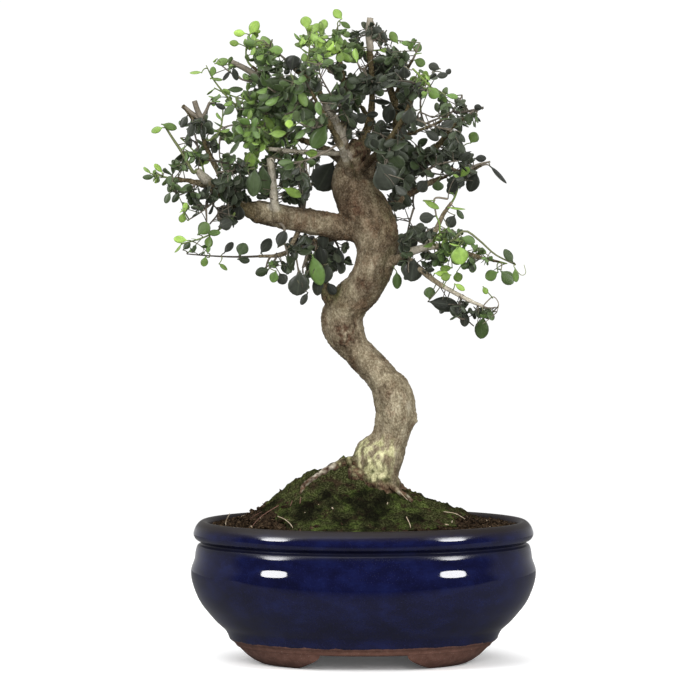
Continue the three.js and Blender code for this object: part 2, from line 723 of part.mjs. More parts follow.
// Adds a leaf's corners to a skin, and gives the faces from the three that it grows from to its tip.
function bladeFaces(leaf, corners) {
  const faces = [];
  let below = leaf.triangle;
  for (const station of BLADE_STATIONS) {
    const ring = bladeRing(leaf, station);
    const turns = [0, 1, 2].map((turn) => below.map((_, j) => below[(j + turn) % 3]));
    const strain = (order) =>
      order.reduce((sum, corner, j) => sum + corners[corner].distanceToSquared(ring[j]), 0);
    below = turns.reduce((a, b) => (strain(a) <= strain(b) ? a : b));
    const above = ring.map((corner) => corners.push(corner) - 1);
    above.forEach((_, j) => {
      const k = (j + 1) % 3;
      faces.push(...bulging(corners, [below[j], below[k], above[k], above[j]]));
    });
    below = above;
  }
  const tip = corners.push(bladeTip(leaf)) - 1;
  below.forEach((corner, j) => faces.push(corner, below[(j + 1) % 3], tip));
  return faces;
}

// A shoot as one skin: a leaf takes the place of the face that it grows from.
function shootGeometry(shoot) {
  const corners = shoot.corners.slice();
  const taken = new Set(shoot.leaves.map(({ triangle }) => triangle.join()));
  const faces = shoot.faces.filter((face) => !taken.has(face.join())).flat();
  for (const leaf of shoot.leaves) faces.push(...bladeFaces(leaf, corners));
  return new THREE.BufferGeometry().setFromPoints(corners).setIndex(faces);
}

// One leaf of a shoot by itself.
function bladeSolid(shoot, leaf) {
  const corners = shoot.corners.slice();
  const [a, b, c] = leaf.triangle;
  const faces = [a, c, b, ...bladeFaces(leaf, corners)];
  return solidOf(new THREE.BufferGeometry().setFromPoints(corners).setIndex(faces));
}

// The same leaf grown on every side, for testing how near it comes to other pieces.
function grownBlade(leaf) {
  const foot = { share: 0, half: 0.1, thick: 1 };
  const rings = [foot, ...BLADE_STATIONS].map((station) => bladeRing(leaf, station, GAP));
  return solidOf(loft(rings, bladeTip(leaf, GAP)));
}

// Keeps the leaves that lie clear of every other piece and don't cross their own shoot.
function thinned(shoots, others) {
  const boxOf = (solid) => {
    const { min, max } = solid.boundingBox();
    return new THREE.Box3(vector(min), vector(max));
  };
  const standing = others.map((solid) => ({ owner: null, solid, box: boxOf(solid) }));
  for (const shoot of shoots) {
    const solid = solidOf(shootGeometry({ ...shoot, leaves: [] }));
    standing.push({ owner: shoot, solid, box: boxOf(solid) });
  }
  for (const shoot of shoots)
    shoot.leaves = shoot.leaves.filter((leaf) => {
      const [own, grown] = [bladeSolid(shoot, leaf), grownBlade(leaf)];
      const near = boxOf(grown);
      const meets = ({ owner, solid, box }) =>
        box.intersectsBox(near) &&
        (owner === shoot ? solid.intersect(own).volume() > CROSSING : !solid.intersect(grown).isEmpty());
      if (standing.some(meets)) return false;
      standing.push({ owner: shoot, solid: own, box: boxOf(own) });
      return true;
    });
  return shoots;
}

// ---------------------------------------------------------------- the part

const MATERIALS = {
  glaze: new THREE.MeshStandardMaterial({ color: 0x14163c, roughness: 0.12, metalness: 0 }),
  soil: new THREE.MeshStandardMaterial({ color: 0x3b3027, roughness: 1, metalness: 0 }),
  moss: new THREE.MeshStandardMaterial({ color: 0x46521f, roughness: 1, metalness: 0 }),
  netting: new THREE.MeshStandardMaterial({ color: 0x1a1a1a, roughness: 0.6, metalness: 0 }),
  bark: new THREE.MeshStandardMaterial({ color: 0x8c7b63, roughness: 0.9, metalness: 0 }),
  spray: new THREE.MeshStandardMaterial({ color: 0x35503c, roughness: 0.5, metalness: 0 }),
  young_shoot: new THREE.MeshStandardMaterial({ color: 0x6ba33a, roughness: 0.5, metalness: 0 }),
};

const part = new THREE.Group();

function place(name, geometry, material) {
  const mesh = new THREE.Mesh(geometry, material);
  mesh.name = name;
  part.add(mesh);
}

const wood = woodSolid();
const hole = rootHole();
const wholeSoil = soilSolid();
const soil = largest(wholeSoil.subtract(hole));
const moss = largest(mossSolid(wholeSoil).subtract(hole));

place("pot", geometryOf(potSolid()), MATERIALS.glaze);
place("drainage_mesh_left", drainMesh(-DRAIN_HOLE.x), MATERIALS.netting);
place("drainage_mesh_right", drainMesh(DRAIN_HOLE.x), MATERIALS.netting);
place("soil", geometryOf(soil), MATERIALS.soil);
place("moss", geometryOf(moss), MATERIALS.moss);
place("tree_wood", geometryOf(wood), MATERIALS.bark);

const shoots = [];
function addShoots(kind, table, firstSeed) {
  const counts = {};
  table.forEach((shoot, index) => {
    const label = kind + "_" + shoot[0];
    counts[label] = (counts[label] ?? 0) + 1;
    const draw = seeded(SEED_STEP * (index + firstSeed));
    shoots.push({ kind, ...shootOf(label + "_" + counts[label], shoot, draw) });
  });
}
addShoots("spray", OLD_SHOOTS, 3);
addShoots("young_shoot", YOUNG_SHOOTS, 103);
for (const shoot of thinned(shoots, [wood, soil, moss]))
  place(shoot.name, shootGeometry(shoot), MATERIALS[shoot.kind]);

const box = new THREE.Box3().setFromObject(part);
part.position.set(-(box.min.x + box.max.x) / 2, -(box.min.y + box.max.y) / 2, -box.min.z);

export default part;
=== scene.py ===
"""The looks of an olive bonsai in its oval glazed pot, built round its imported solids.

Lengths are in millimetres until a mesh is made. The middle of the pot is x = 0, y = 0, and its feet stand
at z = 0. The wood and the shoots repeat the solids' own lines, so that each finer piece lies on its solid.
"""
import json
import math

import bpy
import numpy as np
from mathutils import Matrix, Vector, noise

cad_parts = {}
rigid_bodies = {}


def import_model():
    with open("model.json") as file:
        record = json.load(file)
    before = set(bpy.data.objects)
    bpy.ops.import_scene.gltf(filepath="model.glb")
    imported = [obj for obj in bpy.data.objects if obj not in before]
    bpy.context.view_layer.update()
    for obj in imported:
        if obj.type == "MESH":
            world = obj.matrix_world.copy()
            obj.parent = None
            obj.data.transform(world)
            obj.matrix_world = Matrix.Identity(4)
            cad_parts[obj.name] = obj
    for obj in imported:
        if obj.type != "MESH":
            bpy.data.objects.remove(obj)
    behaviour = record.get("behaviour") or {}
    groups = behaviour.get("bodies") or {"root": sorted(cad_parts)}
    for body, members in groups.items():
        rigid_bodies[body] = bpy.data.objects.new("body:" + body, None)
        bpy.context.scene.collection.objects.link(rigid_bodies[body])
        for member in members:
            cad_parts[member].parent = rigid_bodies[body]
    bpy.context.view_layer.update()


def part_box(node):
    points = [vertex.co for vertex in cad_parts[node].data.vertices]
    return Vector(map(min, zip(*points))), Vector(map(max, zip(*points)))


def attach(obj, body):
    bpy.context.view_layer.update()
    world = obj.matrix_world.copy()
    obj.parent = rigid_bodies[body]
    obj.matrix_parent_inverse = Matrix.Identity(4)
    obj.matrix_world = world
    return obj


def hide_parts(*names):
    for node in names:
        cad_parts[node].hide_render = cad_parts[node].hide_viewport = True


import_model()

MM = 0.001
POT_LOW, POT_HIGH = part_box("pot")
POT_MIDDLE = np.array([(POT_LOW.x + POT_HIGH.x) / 2, (POT_LOW.y + POT_HIGH.y) / 2, 0.0])


# ---------------- the solids' own sizes

DEPTH_SHARE = 0.775  # the oval's depth over its width
SOIL_LEVEL = 79.5
MOUNDS = [  # height, x, reach along x, reach along y
    (27, -28, 36, 34),
    (15, 24, 42, 40),
]
GROUND_REACH = 91.0
MOSS_SHARE = 0.7  # of the way to the pot's wall
GROUND_WAVE = (0.1, 0.06)
GROUND_ROUNDING = 0.7
FLOOR_TOP = 16.5
UNDERSIDE = 9.4  # of the floor
DRAIN_X, DRAIN_RADIUS = 32, 6

TRUNK = [
    (11, 0, 60, 11),
    (10.5, 0, 74, 17),
    (10, 0, 91, 18.4),
    (9, 0, 101, 16.9),
    (8, 0, 112, 15.7),
    (9, 0, 122, 14.8),
    (13, -1, 132, 13.3),
    (17, -2, 142, 12.1),
    (19, -3, 151, 11.6),
    (17, -3, 161, 11.3),
    (12, -1, 169, 9.8),
    (3, 2, 178, 9.2),
    (-6, 4, 187, 10.1),
    (-12, 5, 197, 12.1),
    (-13, 5, 205, 12.1),
    (-9, 3, 214, 11),
    (-1, 0, 222, 10.4),
    (4, -2, 231, 11),
    (7, -2, 241, 11.9),
    (7, -1, 251, 13.3),
    (3, 0, 263, 13.9),
    (-4, 1, 275, 13.3),
    (-9, 2, 284, 10.7),
    (-8, 3, 293, 8.3),
    (-4, 4, 302, 7.4),
    (-1, 5, 308, 6.6),
]
FLUTE_SHARE, FLUTE_LOBES, FLUTE_TWIST = 0.05, 3, 0.0188

# Each root and branch: its radius at both ends, and the points of its centre line.
ROOTS = {
    "root_left": (5, 1.6, [(4, -8, 110), (-12, -16, 108), (-26, -20, 105), (-38, -21, 101), (-48, -22, 96),
                           (-57, -23, 87)]),
    "root_right": (5, 1.8, [(16, -6, 108), (24, -10, 101), (31, -14, 96), (38, -18, 88)]),
    "root_front": (4.5, 1.8, [(8, -10, 107), (4, -22, 99), (-2, -31, 94), (-6, -39, 85)]),
    "root_back_left": (5, 1.8, [(4, 8, 108), (-10, 18, 104), (-24, 26, 99), (-37, 33, 89)]),
    "root_back_right": (4.5, 1.8, [(16, 8, 106), (25, 17, 98), (33, 25, 92), (39, 31, 84)]),
}
BRANCHES = {
    "left_main": (7.4, 6.2, [(3, 0, 257), (-11, -3, 258), (-27, -6, 261), (-44, -8, 264), (-58, -10, 267),
                             (-68, -11, 269)]),
    "left_stub": (2.9, 2.3, [(-51, -9, 266), (-53, -12, 282), (-55, -14, 300)]),
    "left_bar": (1.5, 0.9, [(-7, 3, 301), (-20, 0, 302), (-38, -8, 303), (-56, -15, 305)]),
    "left_fork": (3.8, 1.3, [(-64, -10, 268), (-76, -14, 274), (-88, -12, 281), (-99, -8, 285),
                             (-112, -4, 287)]),
    "left_rise": (2.6, 1.2, [(-76, -14, 274), (-86, -22, 293), (-93, -26, 308), (-97, -28, 324)]),
    "left_spur": (1.5, 1.1, [(-94, -27, 313), (-101, -29, 324), (-106, -30, 331)]),
    "left_cut": (2.1, 1.8, [(-87, -12, 281), (-94, -17, 288), (-98, -20, 293)]),
    "left_under": (1.7, 0.9, [(-36, -6, 262), (-42, -5, 249), (-48, -2, 242), (-62, 0, 241)]),
    "crown_left": (4.6, 1.6, [(-8, 2, 290), (-13, -4, 311), (-18, -10, 324), (-27, -18, 339),
                              (-38, -26, 351), (-46, -31, 358)]),
    "crown_west": (2.3, 1.1, [(-19, -11, 326), (-36, -2, 334), (-54, 8, 344), (-66, 13, 353)]),
    "crown_mid": (2.7, 1.2, [(-13, -5, 312), (-10, 2, 333), (-13, 8, 351), (-15, 10, 366)]),
    "crown_top": (3.4, 1.8, [(-3, 5, 302), (4, 12, 322), (5, 16, 342), (4, 18, 362), (4, 18, 379)]),
    "right_up": (5.2, 2.2, [(-3, 2, 287), (12, 10, 295), (19, 14, 306), (20, 16, 322), (17, 16, 337),
                            (11, 14, 349)]),
    "right_crest": (1.9, 1, [(18, 16, 332), (23, 10, 346), (29, 4, 357)]),
    "right_arm": (3.1, 1.2, [(17, 12, 301), (29, 8, 300), (42, 0, 305), (52, -6, 317), (62, -8, 325)]),
    "right_thin": (1.5, 0.9, [(19, 14, 309), (31, 24, 314), (44, 32, 319), (51, 36, 324)]),
    "right_outer": (1.9, 1, [(29, 8, 300), (45, 14, 295), (60, 18, 290), (70, 20, 294)]),
    "right_low": (3.4, 1.1, [(7, -2, 232), (22, -12, 241), (32, -20, 246), (46, -26, 248), (63, -30, 243),
                             (80, -30, 239)]),
    "right_down": (2, 1, [(24, -14, 242), (36, -22, 232), (46, -26, 225), (61, -30, 217), (70, -32, 213)]),
    "right_rise": (1.9, 1, [(36, -22, 246), (42, -14, 256), (47, -8, 266), (52, -5, 273)]),
    "back_main": (4.2, 1.4, [(-2, 2, 276), (5, 28, 289), (10, 50, 300), (7, 60, 315), (-1, 64, 328)]),
    "back_left": (3.4, 1.2, [(-8, 4, 291), (-20, 30, 302), (-38, 46, 309), (-57, 53, 314), (-70, 55, 317)]),
    "back_low": (3.2, 1.2, [(5, 2, 246), (-8, 30, 251), (-27, 44, 248), (-42, 50, 243)]),
    "back_right": (3.2, 1.2, [(5, 4, 264), (23, 32, 274), (38, 48, 282), (51, 54, 287)]),
    "front_up": (3.2, 1.2, [(-6, 0, 286), (-14, -32, 308), (-24, -46, 327), (-32, -52, 342)]),
    "front_right": (3, 1.2, [(-2, 2, 292), (12, -28, 307), (24, -42, 325), (28, -47, 338)]),
}

# Each leafy shoot: its branch, how far along it, its tip, its leaves' length, its side twigs' tips.
OLD_SHOOTS = [
    ("left_fork", 0.75, (-119, -18, 275), 9.5, [(-112, -30, 290)]),
    ("left_fork", 0.42, (-106, -28, 262), 9, [(-92, -36, 258)]),
    ("left_rise", 1, (-112, -24, 340), 8.5, [(-98, -36, 343)]),
    ("left_rise", 0.45, (-108, 14, 302), 9, [(-102, 10, 318)]),
    ("left_rise", 0.25, (-74, -38, 301), 10, [(-88, -42, 292)]),
    ("crown_west", 0.85, (-89, 22, 358), 9, []),
    ("crown_west", 0.4, (-74, -8, 328), 9.5, [(-58, -16, 318)]),
    ("crown_left", 1, (-61, -38, 371), 9, [(-48, -40, 377)]),
    ("crown_left", 0.6, (-56, -50, 342), 10, [(-46, -52, 326)]),
    ("crown_left", 0.45, (-14, -46, 338), 9.5, [(-26, -46, 350)]),
    ("back_left", 1, (-94, 58, 311), 10, [(-86, 46, 298)]),
    ("back_left", 0.6, (-66, 68, 333), 9.5, [(-48, 68, 326)]),
    ("left_under", 0.4, (-38, -24, 226), 13, []),
    ("left_under", 1, (-112, 4, 243), 8.5, []),
    ("left_under", 0.75, (-66, -14, 231), 9, []),
    ("back_low", 1, (-66, 58, 236), 10, [(-58, 44, 226)]),
    ("back_low", 0.5, (-14, 54, 228), 10, [(-26, 62, 236)]),
    ("crown_mid", 0.6, (-30, 0, 366), 9, [(-24, 14, 374)]),
    ("crown_top", 0.85, (15, 26, 376), 9, [(22, 16, 368)]),
    ("crown_top", 0.55, (-6, 42, 364), 9, [(8, 46, 360)]),
    ("right_crest", 1, (34, 0, 369), 9, []),
    ("right_up", 0.85, (-4, -16, 356), 9.5, [(4, -22, 346)]),
    ("right_up", 0.55, (40, -12, 328), 9.5, [(30, -18, 336)]),
    ("right_thin", 1, (60, 42, 338), 9, []),
    ("right_thin", 0.5, (38, 44, 348), 9, []),
    ("right_arm", 1, (75, -10, 332), 9.5, []),
    ("right_arm", 0.35, (50, -30, 290), 10, [(56, -18, 298)]),
    ("right_outer", 1, (86, 22, 280), 12, []),
    ("front_right", 1, (36, -64, 341), 9.5, [(20, -62, 346)]),
    ("front_right", 0.45, (10, -50, 288), 14, []),
    ("front_right", 0.7, (54, -50, 316), 10, [(44, -60, 324)]),
    ("front_up", 1, (-38, -68, 354), 9, [(-24, -66, 356)]),
    ("front_up", 0.6, (-38, -68, 322), 10, [(-20, -68, 328)]),
    ("front_up", 0.35, (-42, -46, 297), 11, [(-32, -54, 308)]),
    ("back_main", 1, (-14, 76, 344), 9.5, []),
    ("back_main", 0.6, (34, 74, 322), 10, [(26, 70, 334)]),
    ("back_right", 1, (72, 62, 300), 10, [(58, 66, 308)]),
    ("back_right", 0.5, (36, 66, 260), 10, [(26, 60, 250)]),
    ("right_low", 0.3, (30, -42, 225), 11, []),
    ("right_down", 1, (86, -38, 218), 10, []),
    ("right_down", 0.7, (68, -34, 199), 12.5, [(54, -40, 208)]),
]
YOUNG_SHOOTS = [
    ("left_fork", 1, (-126, 2, 290), 7, []),
    ("left_fork", 0.66, (-121, -4, 320), 7, []),
    ("left_fork", 0.2, (-107, -38, 250), 7.5, []),
    ("left_rise", 0.7, (-84, -34, 342), 7.5, []),
    ("crown_west", 1, (-66, 10, 376), 7.5, []),
    ("crown_west", 0.62, (-99, 26, 346), 7, []),
    ("crown_left", 0.8, (-34, -34, 378), 7.5, []),
    ("left_bar", 1, (-72, -24, 311), 8, [(-68, -30, 322)]),
    ("crown_mid", 1, (-15, 8, 379), 7.5, []),
    ("right_crest", 0.5, (44, -10, 352), 7.5, []),
    ("right_rise", 1, (57, -8, 288), 8, []),
    ("right_low", 1, (95, -36, 237), 8.5, [(90, -28, 247)]),
    ("right_low", 0.55, (50, -46, 260), 8.5, [(62, -46, 252)]),
]
SEED_STEP = 7919
FIRST_SEED = {"spray": 3, "young_shoot": 103}
CLEARANCE = 0.35  # between a shoot's solid and its branch
STEM_RADII = (0.9, 0.55)
STEM_BARE, PAIR_SPACING, NODE_LENGTH, STEM_BEND, SIDE_LEAN = 5.5, 8.2, 1.5, 0.4, 0.8
LEAF_WIDTH_SHARE, LEAF_SPREAD, TIP_SPREAD, LEAF_SUNK = 0.68, 62, 38, 0.5
LEAF_SCATTER = {"spread": 24, "hang": 0.12, "face": 1.1, "length": 0.32, "width": 0.2}
LIGHT_ABOVE, LIGHT_FRONT, LIGHT_BEYOND = 0.8, 0.25, 0.4


# ---------------- draws and curves


def seeded(seed):
    """Draws between 0 and 1, the same each time."""
    state = [seed]

    def draw():
        state[0] = state[0] * 48271 % 2147483647
        return state[0] / 2147483647

    return draw


def scatter(draw):
    """A vector with each part between -0.5 and 0.5."""
    return Vector((draw() - 0.5, draw() - 0.5, draw() - 0.5))


def square_to(vector, along):
    """The direction of a vector, turned until it is square to another direction."""
    return (vector - along * vector.dot(along)).normalized()


class Route:
    """A smooth curve through its points, by their index. A point may hold a radius after x, y and z."""

    def __init__(self, points):
        self.points = [Vector(point) for point in points]

    def at(self, t):
        points = self.points
        last = len(points) - 1
        i = min(int(t * last), last - 1)
        w = t * last - i
        before = points[i - 1] if i > 0 else 2 * points[0] - points[1]
        after = points[i + 2] if i + 2 <= last else 2 * points[last] - points[last - 1]
        start, end = points[i], points[i + 1]
        leave, arrive = (end - before) * 0.5, (after - start) * 0.5
        square = 3 * (end - start) - 2 * leave - arrive
        cube = 2 * (start - end) + leave + arrive
        return start + leave * w + square * w**2 + cube * w**3


class Arc:
    """A curve that sets out from start in one direction and bends over to tip."""

    def __init__(self, start, direction, tip, bend=STEM_BEND):
        self.start, self.tip = start, tip
        self.bend = start + direction * bend * (tip - start).length

    def at(self, t):
        return self.start * (1 - t) ** 2 + self.bend * 2 * (1 - t) * t + self.tip * t**2


def tangent(curve, t, step=0.001):
    return (curve.at(min(1, t + step)) - curve.at(max(0, t - step))).xyz.normalized()


def points_on(curve, steps, reach=1):
    """Points from the start of a curve to a share of its way."""
    return [curve.at(reach * i / steps) for i in range(steps + 1)]


def length_of(curve, steps=200):
    points = points_on(curve, steps)
    return sum((b - a).length for a, b in zip(points, points[1:]))


def mean(points):
    return sum(points, Vector((0, 0, 0))) / len(points)


# ---------------- meshes


class Skin:
    """Corners, four-sided faces, material numbers and marks of a piece, before it becomes a mesh."""

    def __init__(self):
        self.corners, self.faces, self.slots, self.marks = [], [], [], []
        self.count = 0

    def add(self, corners, faces, slot=0, marks=None):
        self.corners.append(corners)
        self.faces.append(faces + self.count)
        self.slots.append(np.full(len(faces), slot))
        self.marks.append(np.zeros((len(corners), 4)) if marks is None else marks)
        self.count += len(corners)

    def to_object(self, name, materials):
        return mesh_object(name, np.concatenate(self.corners), np.concatenate(self.faces), materials,
                           np.concatenate(self.slots), np.concatenate(self.marks))


def linked(name, data):
    """A new object in the scene for a mesh, lamp or camera."""
    thing = bpy.data.objects.new(name, data)
    bpy.context.scene.collection.objects.link(thing)
    return thing


def mesh_object(name, corners, faces, materials, slots=None, marks=None):
    """An object from corners in millimetres. Marks are read by the materials: three in one, then one."""
    mesh = bpy.data.meshes.new(name)
    mesh.from_pydata((np.asarray(corners) * MM + POT_MIDDLE).tolist(), [], np.asarray(faces).tolist())
    for material in materials:
        mesh.materials.append(material)
    if slots is not None:
        mesh.polygons.foreach_set("material_index", slots.astype(np.int32))
    if marks is not None:
        place = mesh.attributes.new("place", "FLOAT_VECTOR", "POINT")
        place.data.foreach_set("vector", marks[:, :3].astype(np.float32).ravel())
        chance = mesh.attributes.new("chance", "FLOAT", "POINT")
        chance.data.foreach_set("value", marks[:, 3].astype(np.float32))
    mesh.polygons.foreach_set("use_smooth", np.ones(len(mesh.polygons), bool))
    mesh.validate()
    mesh.update()
    return linked(name, mesh)


def ring_faces(rings, sides):
    """The faces between rings of corners, each ring following the one before."""
    i, j = np.meshgrid(np.arange(rings - 1), np.arange(sides), indexing="ij")
    a, b = i * sides + j, i * sides + (j + 1) % sides
    return np.stack([a, b, b + sides, a + sides], axis=-1).reshape(-1, 4)


def cap_faces(first, sides, outwards):
    """Four-sided faces that close a ring with an even number of sides."""
    faces = []
    for k in range(sides // 2 - 1):
        quad = [first + k, first + k + 1, first + sides - 2 - k, first + sides - 1 - k]
        faces.append(quad if outwards else quad[::-1])
    return np.array(faces)


def closed_faces(rings, sides):
    """The faces of a stack of rings that is closed at both ends."""
    return np.concatenate([ring_faces(rings, sides), cap_faces(0, sides, False),
                           cap_faces((rings - 1) * sides, sides, True)])


def turns(count):
    return [2 * math.pi * j / count for j in range(count)]


def ring(middle, along, across, radii):
    """Corners round a middle, square to a direction, one for each radius."""
    up = along.cross(across)
    return [middle + (across * math.cos(a) + up * math.sin(a)) * radius
            for a, radius in zip(turns(len(radii)), radii)]


def tube(points, radii, sides=6):
    """A closed tube along points, as corners and faces."""
    points = [Vector(point) for point in points]
    radii = np.broadcast_to(radii, (len(points),))
    across = Vector((0, 1, 0))
    corners = []
    for i, point in enumerate(points):
        along = (points[min(i + 1, len(points) - 1)] - points[max(i - 1, 0)]).normalized()
        if i == 0 and abs(along.y) > 0.9:
            across = Vector((1, 0, 0))
        across = square_to(across, along)
        corners += ring(point, along, across, [radii[i]] * sides)
    return np.array(corners), closed_faces(len(points), sides)


def oval_rings(section, segments):
    """Rings of the pot's oval, one for each reach along x and height."""
    angles = np.linspace(0, 2 * math.pi, segments, endpoint=False)
    reach, height = np.array(section).T[:, :, None]
    x = reach * np.cos(angles)
    y = reach * np.sin(angles) * DEPTH_SHARE
    return np.stack([x, y, height + 0 * x], axis=-1).reshape(-1, 3)


def applied(piece):
    """The piece with its modifiers applied."""
    graph = bpy.context.evaluated_depsgraph_get()
    mesh = bpy.data.meshes.new_from_object(piece.evaluated_get(graph))
    piece.modifiers.clear()
    piece.data = mesh
    return piece


def corners_of(piece):
    """The corners of a piece in millimetres, and the directions they face."""
    mesh = piece.data
    corners = np.empty(len(mesh.vertices) * 3, np.float32)
    mesh.vertices.foreach_get("co", corners)
    normals = np.empty(len(mesh.vertices) * 3, np.float32)
    mesh.vertex_normals.foreach_get("vector", normals)
    return (corners.reshape(-1, 3) - POT_MIDDLE) / MM, normals.reshape(-1, 3)


def joined(name, pieces):
    """Several pieces as one."""
    bpy.ops.object.select_all(action="DESELECT")
    for piece in pieces:
        piece.select_set(True)
    bpy.context.view_layer.objects.active = pieces[0]
    bpy.ops.object.join()
    pieces[0].name = name
    pieces[0].data.name = name
    return pieces[0]


def noise_at(corners, size, stretch=(1, 1, 1), seed=0):
    """Smooth noise from about -1 to 1, with bumps of that size."""
    scale = Vector([1 / (size * s) for s in stretch])
    shift = Vector((seed * 7.3, seed * 3.1, seed * 5.7))
    return np.array([noise.noise(Vector(corner) * scale + shift) for corner in corners])


def relief_of(corners, layers):
    """The sum of layers of noise. A layer has a height, a size, how much longer it is along z, and a seed."""
    return sum(height * noise_at(corners, size, (1, 1, longer), seed)
               for height, size, longer, seed in layers)


def looked_up(table, at):
    """What a table of pairs gives for a value of its first column, also between its rows."""
    return np.interp(at, *zip(*table))


def nearness(places, middle, reach):
    """1 at a middle, and less the further a place is from it."""
    away = np.linalg.norm(places - np.array(middle), axis=1) / reach
    return np.exp(-(away**2))


# ---------------- materials


class Nodes:
    """Builds the node tree of a material or a world with few words."""

    def __init__(self, owner):
        owner.use_nodes = True
        self.owner, self.tree = owner, owner.node_tree

    def node(self, kind, inputs=(), **settings):
        node = self.tree.nodes.new("ShaderNode" + kind)
        for key, value in settings.items():
            setattr(node, key, value)
        for socket, value in dict(inputs).items():
            self.join(value, node.inputs[socket])
        return node

    def join(self, value, socket):
        """Links a node's output to a socket, or gives the socket a constant value."""
        if isinstance(value, bpy.types.NodeSocket):
            self.tree.links.new(value, socket)
        else:
            socket.default_value = (*value, 1) if isinstance(value, tuple) and len(value) == 3 else value

    def place(self, axis):
        """Where a point is along one of the object's own axes, in metres."""
        return self.node("SeparateXYZ", {0: self.node("TexCoord").outputs["Object"]}).outputs[axis]

    def scaled(self, size_mm, stretch):
        """The object's own space in units of a bump's size."""
        scale = [1 / (size_mm * MM * s) for s in stretch]
        return self.node("Mapping", {"Vector": self.node("TexCoord").outputs["Object"],
                                     "Scale": scale}).outputs[0]

    def noise(self, size_mm, stretch=(1, 1, 1), detail=3, roughness=0.55):
        """Noise with bumps of that size."""
        return self.node("TexNoise", {"Vector": self.scaled(size_mm, stretch), "Scale": 1.0,
                                      "Detail": detail, "Roughness": roughness}).outputs["Fac"]

    def cells(self, size_mm, stretch=(1, 1, 1)):
        """Distance from the middle of the nearest cell, for pebbled bark."""
        place = self.scaled(size_mm, stretch)
        wander = self.node("TexNoise", {"Vector": place, "Scale": 0.9, "Detail": 2}).outputs["Color"]
        moved = self.node("VectorMath", {0: place, 1: wander}, operation="ADD").outputs[0]
        return self.node("TexVoronoi", {"Vector": moved, "Scale": 1.0}).outputs["Distance"]

    def ramp(self, value, *stops):
        """Colours or greys at their places between 0 and 1."""
        made = self.node("ValToRGB", {"Fac": value})
        elements = made.color_ramp.elements
        while len(elements) < len(stops):
            elements.new(0.5)
        for element, (place, colour) in zip(elements, stops):
            element.position = place
            element.color = (*colour, 1) if isinstance(colour, tuple) else (colour, colour, colour, 1)
        return made.outputs["Color"]

    def mix(self, amount, first, second, blend="MIX"):
        made = self.node("Mix", data_type="RGBA", blend_type=blend)
        for name, value in (("Factor", amount), ("A", first), ("B", second)):
            self.join(value, made.inputs[name])
        return made.outputs["Result"]

    def math(self, operation, *values):
        return self.node("Math", dict(enumerate(values)), operation=operation).outputs[0]

    def grey(self, value):
        return self.node("CombineColor", dict.fromkeys(range(3), value)).outputs[0]

    def bump(self, height, depth_mm, strength=1.0):
        made = self.node("Bump", {"Height": height, "Distance": depth_mm * MM, "Strength": strength})
        self.tree.links.new(made.outputs[0], self.tree.nodes["Principled BSDF"].inputs["Normal"])

    def marks(self):
        """The three marks in one, and the single one."""
        place = self.node("Attribute", attribute_name="place").outputs["Vector"]
        apart = self.node("SeparateXYZ", {0: place})
        return (*apart.outputs, self.node("Attribute", attribute_name="chance").outputs["Fac"])

    def finish(self, base_color, roughness, gloss=0.5):
        """The finished material."""
        sockets = {"Base Color": base_color, "Roughness": roughness, "Specular IOR Level": gloss}
        for name, value in sockets.items():
            self.join(value, self.tree.nodes["Principled BSDF"].inputs[name])
        return self.owner

    def to_camera(self, seen, otherwise, output):
        """Joins one shader for what the camera sees, and another for all other rays, to an output node."""
        camera_ray = self.node("LightPath").outputs["Is Camera Ray"]
        both = self.node("MixShader", {0: camera_ray, 1: otherwise, 2: seen}).outputs[0]
        self.join(both, self.tree.nodes[output].inputs["Surface"])


def material(name):
    return Nodes(bpy.data.materials.new(name))


def mottled(name, size_mm, low, high, roughness):
    """A material of two tones."""
    m = material(name)
    return m.finish(m.ramp(m.noise(size_mm), (0.3, low), (0.7, high)), roughness)


GLAZE_EDGE, GLAZE_WAVE = 14.0, 2.4  # height of the glaze's lower edge, and how far it waves
THIN_GLAZE = (81.1, 82.3)  # heights between which the glaze of the rim grows thin
GROOVE = (69.9, 70.5, 71.7, 72.3)  # heights of the dirt and painted shade in the groove


def glaze_colour(m, height, thin, groove):
    """Dark blue in faint clouds, with flecks, thin on the rim's top, and near black in the groove as dirt and
    painted shade.
    """
    cloud = m.noise(12, (1.3, 1.3, 0.8), detail=6, roughness=0.62)
    glaze = m.ramp(cloud, (0.34, (0.003, 0.0035, 0.019)), (0.5, (0.004, 0.005, 0.03)),
                   (0.68, (0.006, 0.009, 0.05)))
    glaze = m.mix(m.ramp(m.noise(0.9, detail=2), (0.6, 0.0), (0.74, 0.35)), glaze, (0.02, 0.026, 0.1))
    # near black in the groove: dirt, and painted shade in the recess under the rim
    return m.mix(groove, m.mix(thin, glaze, (0.017, 0.013, 0.009)), (0.006, 0.006, 0.007))


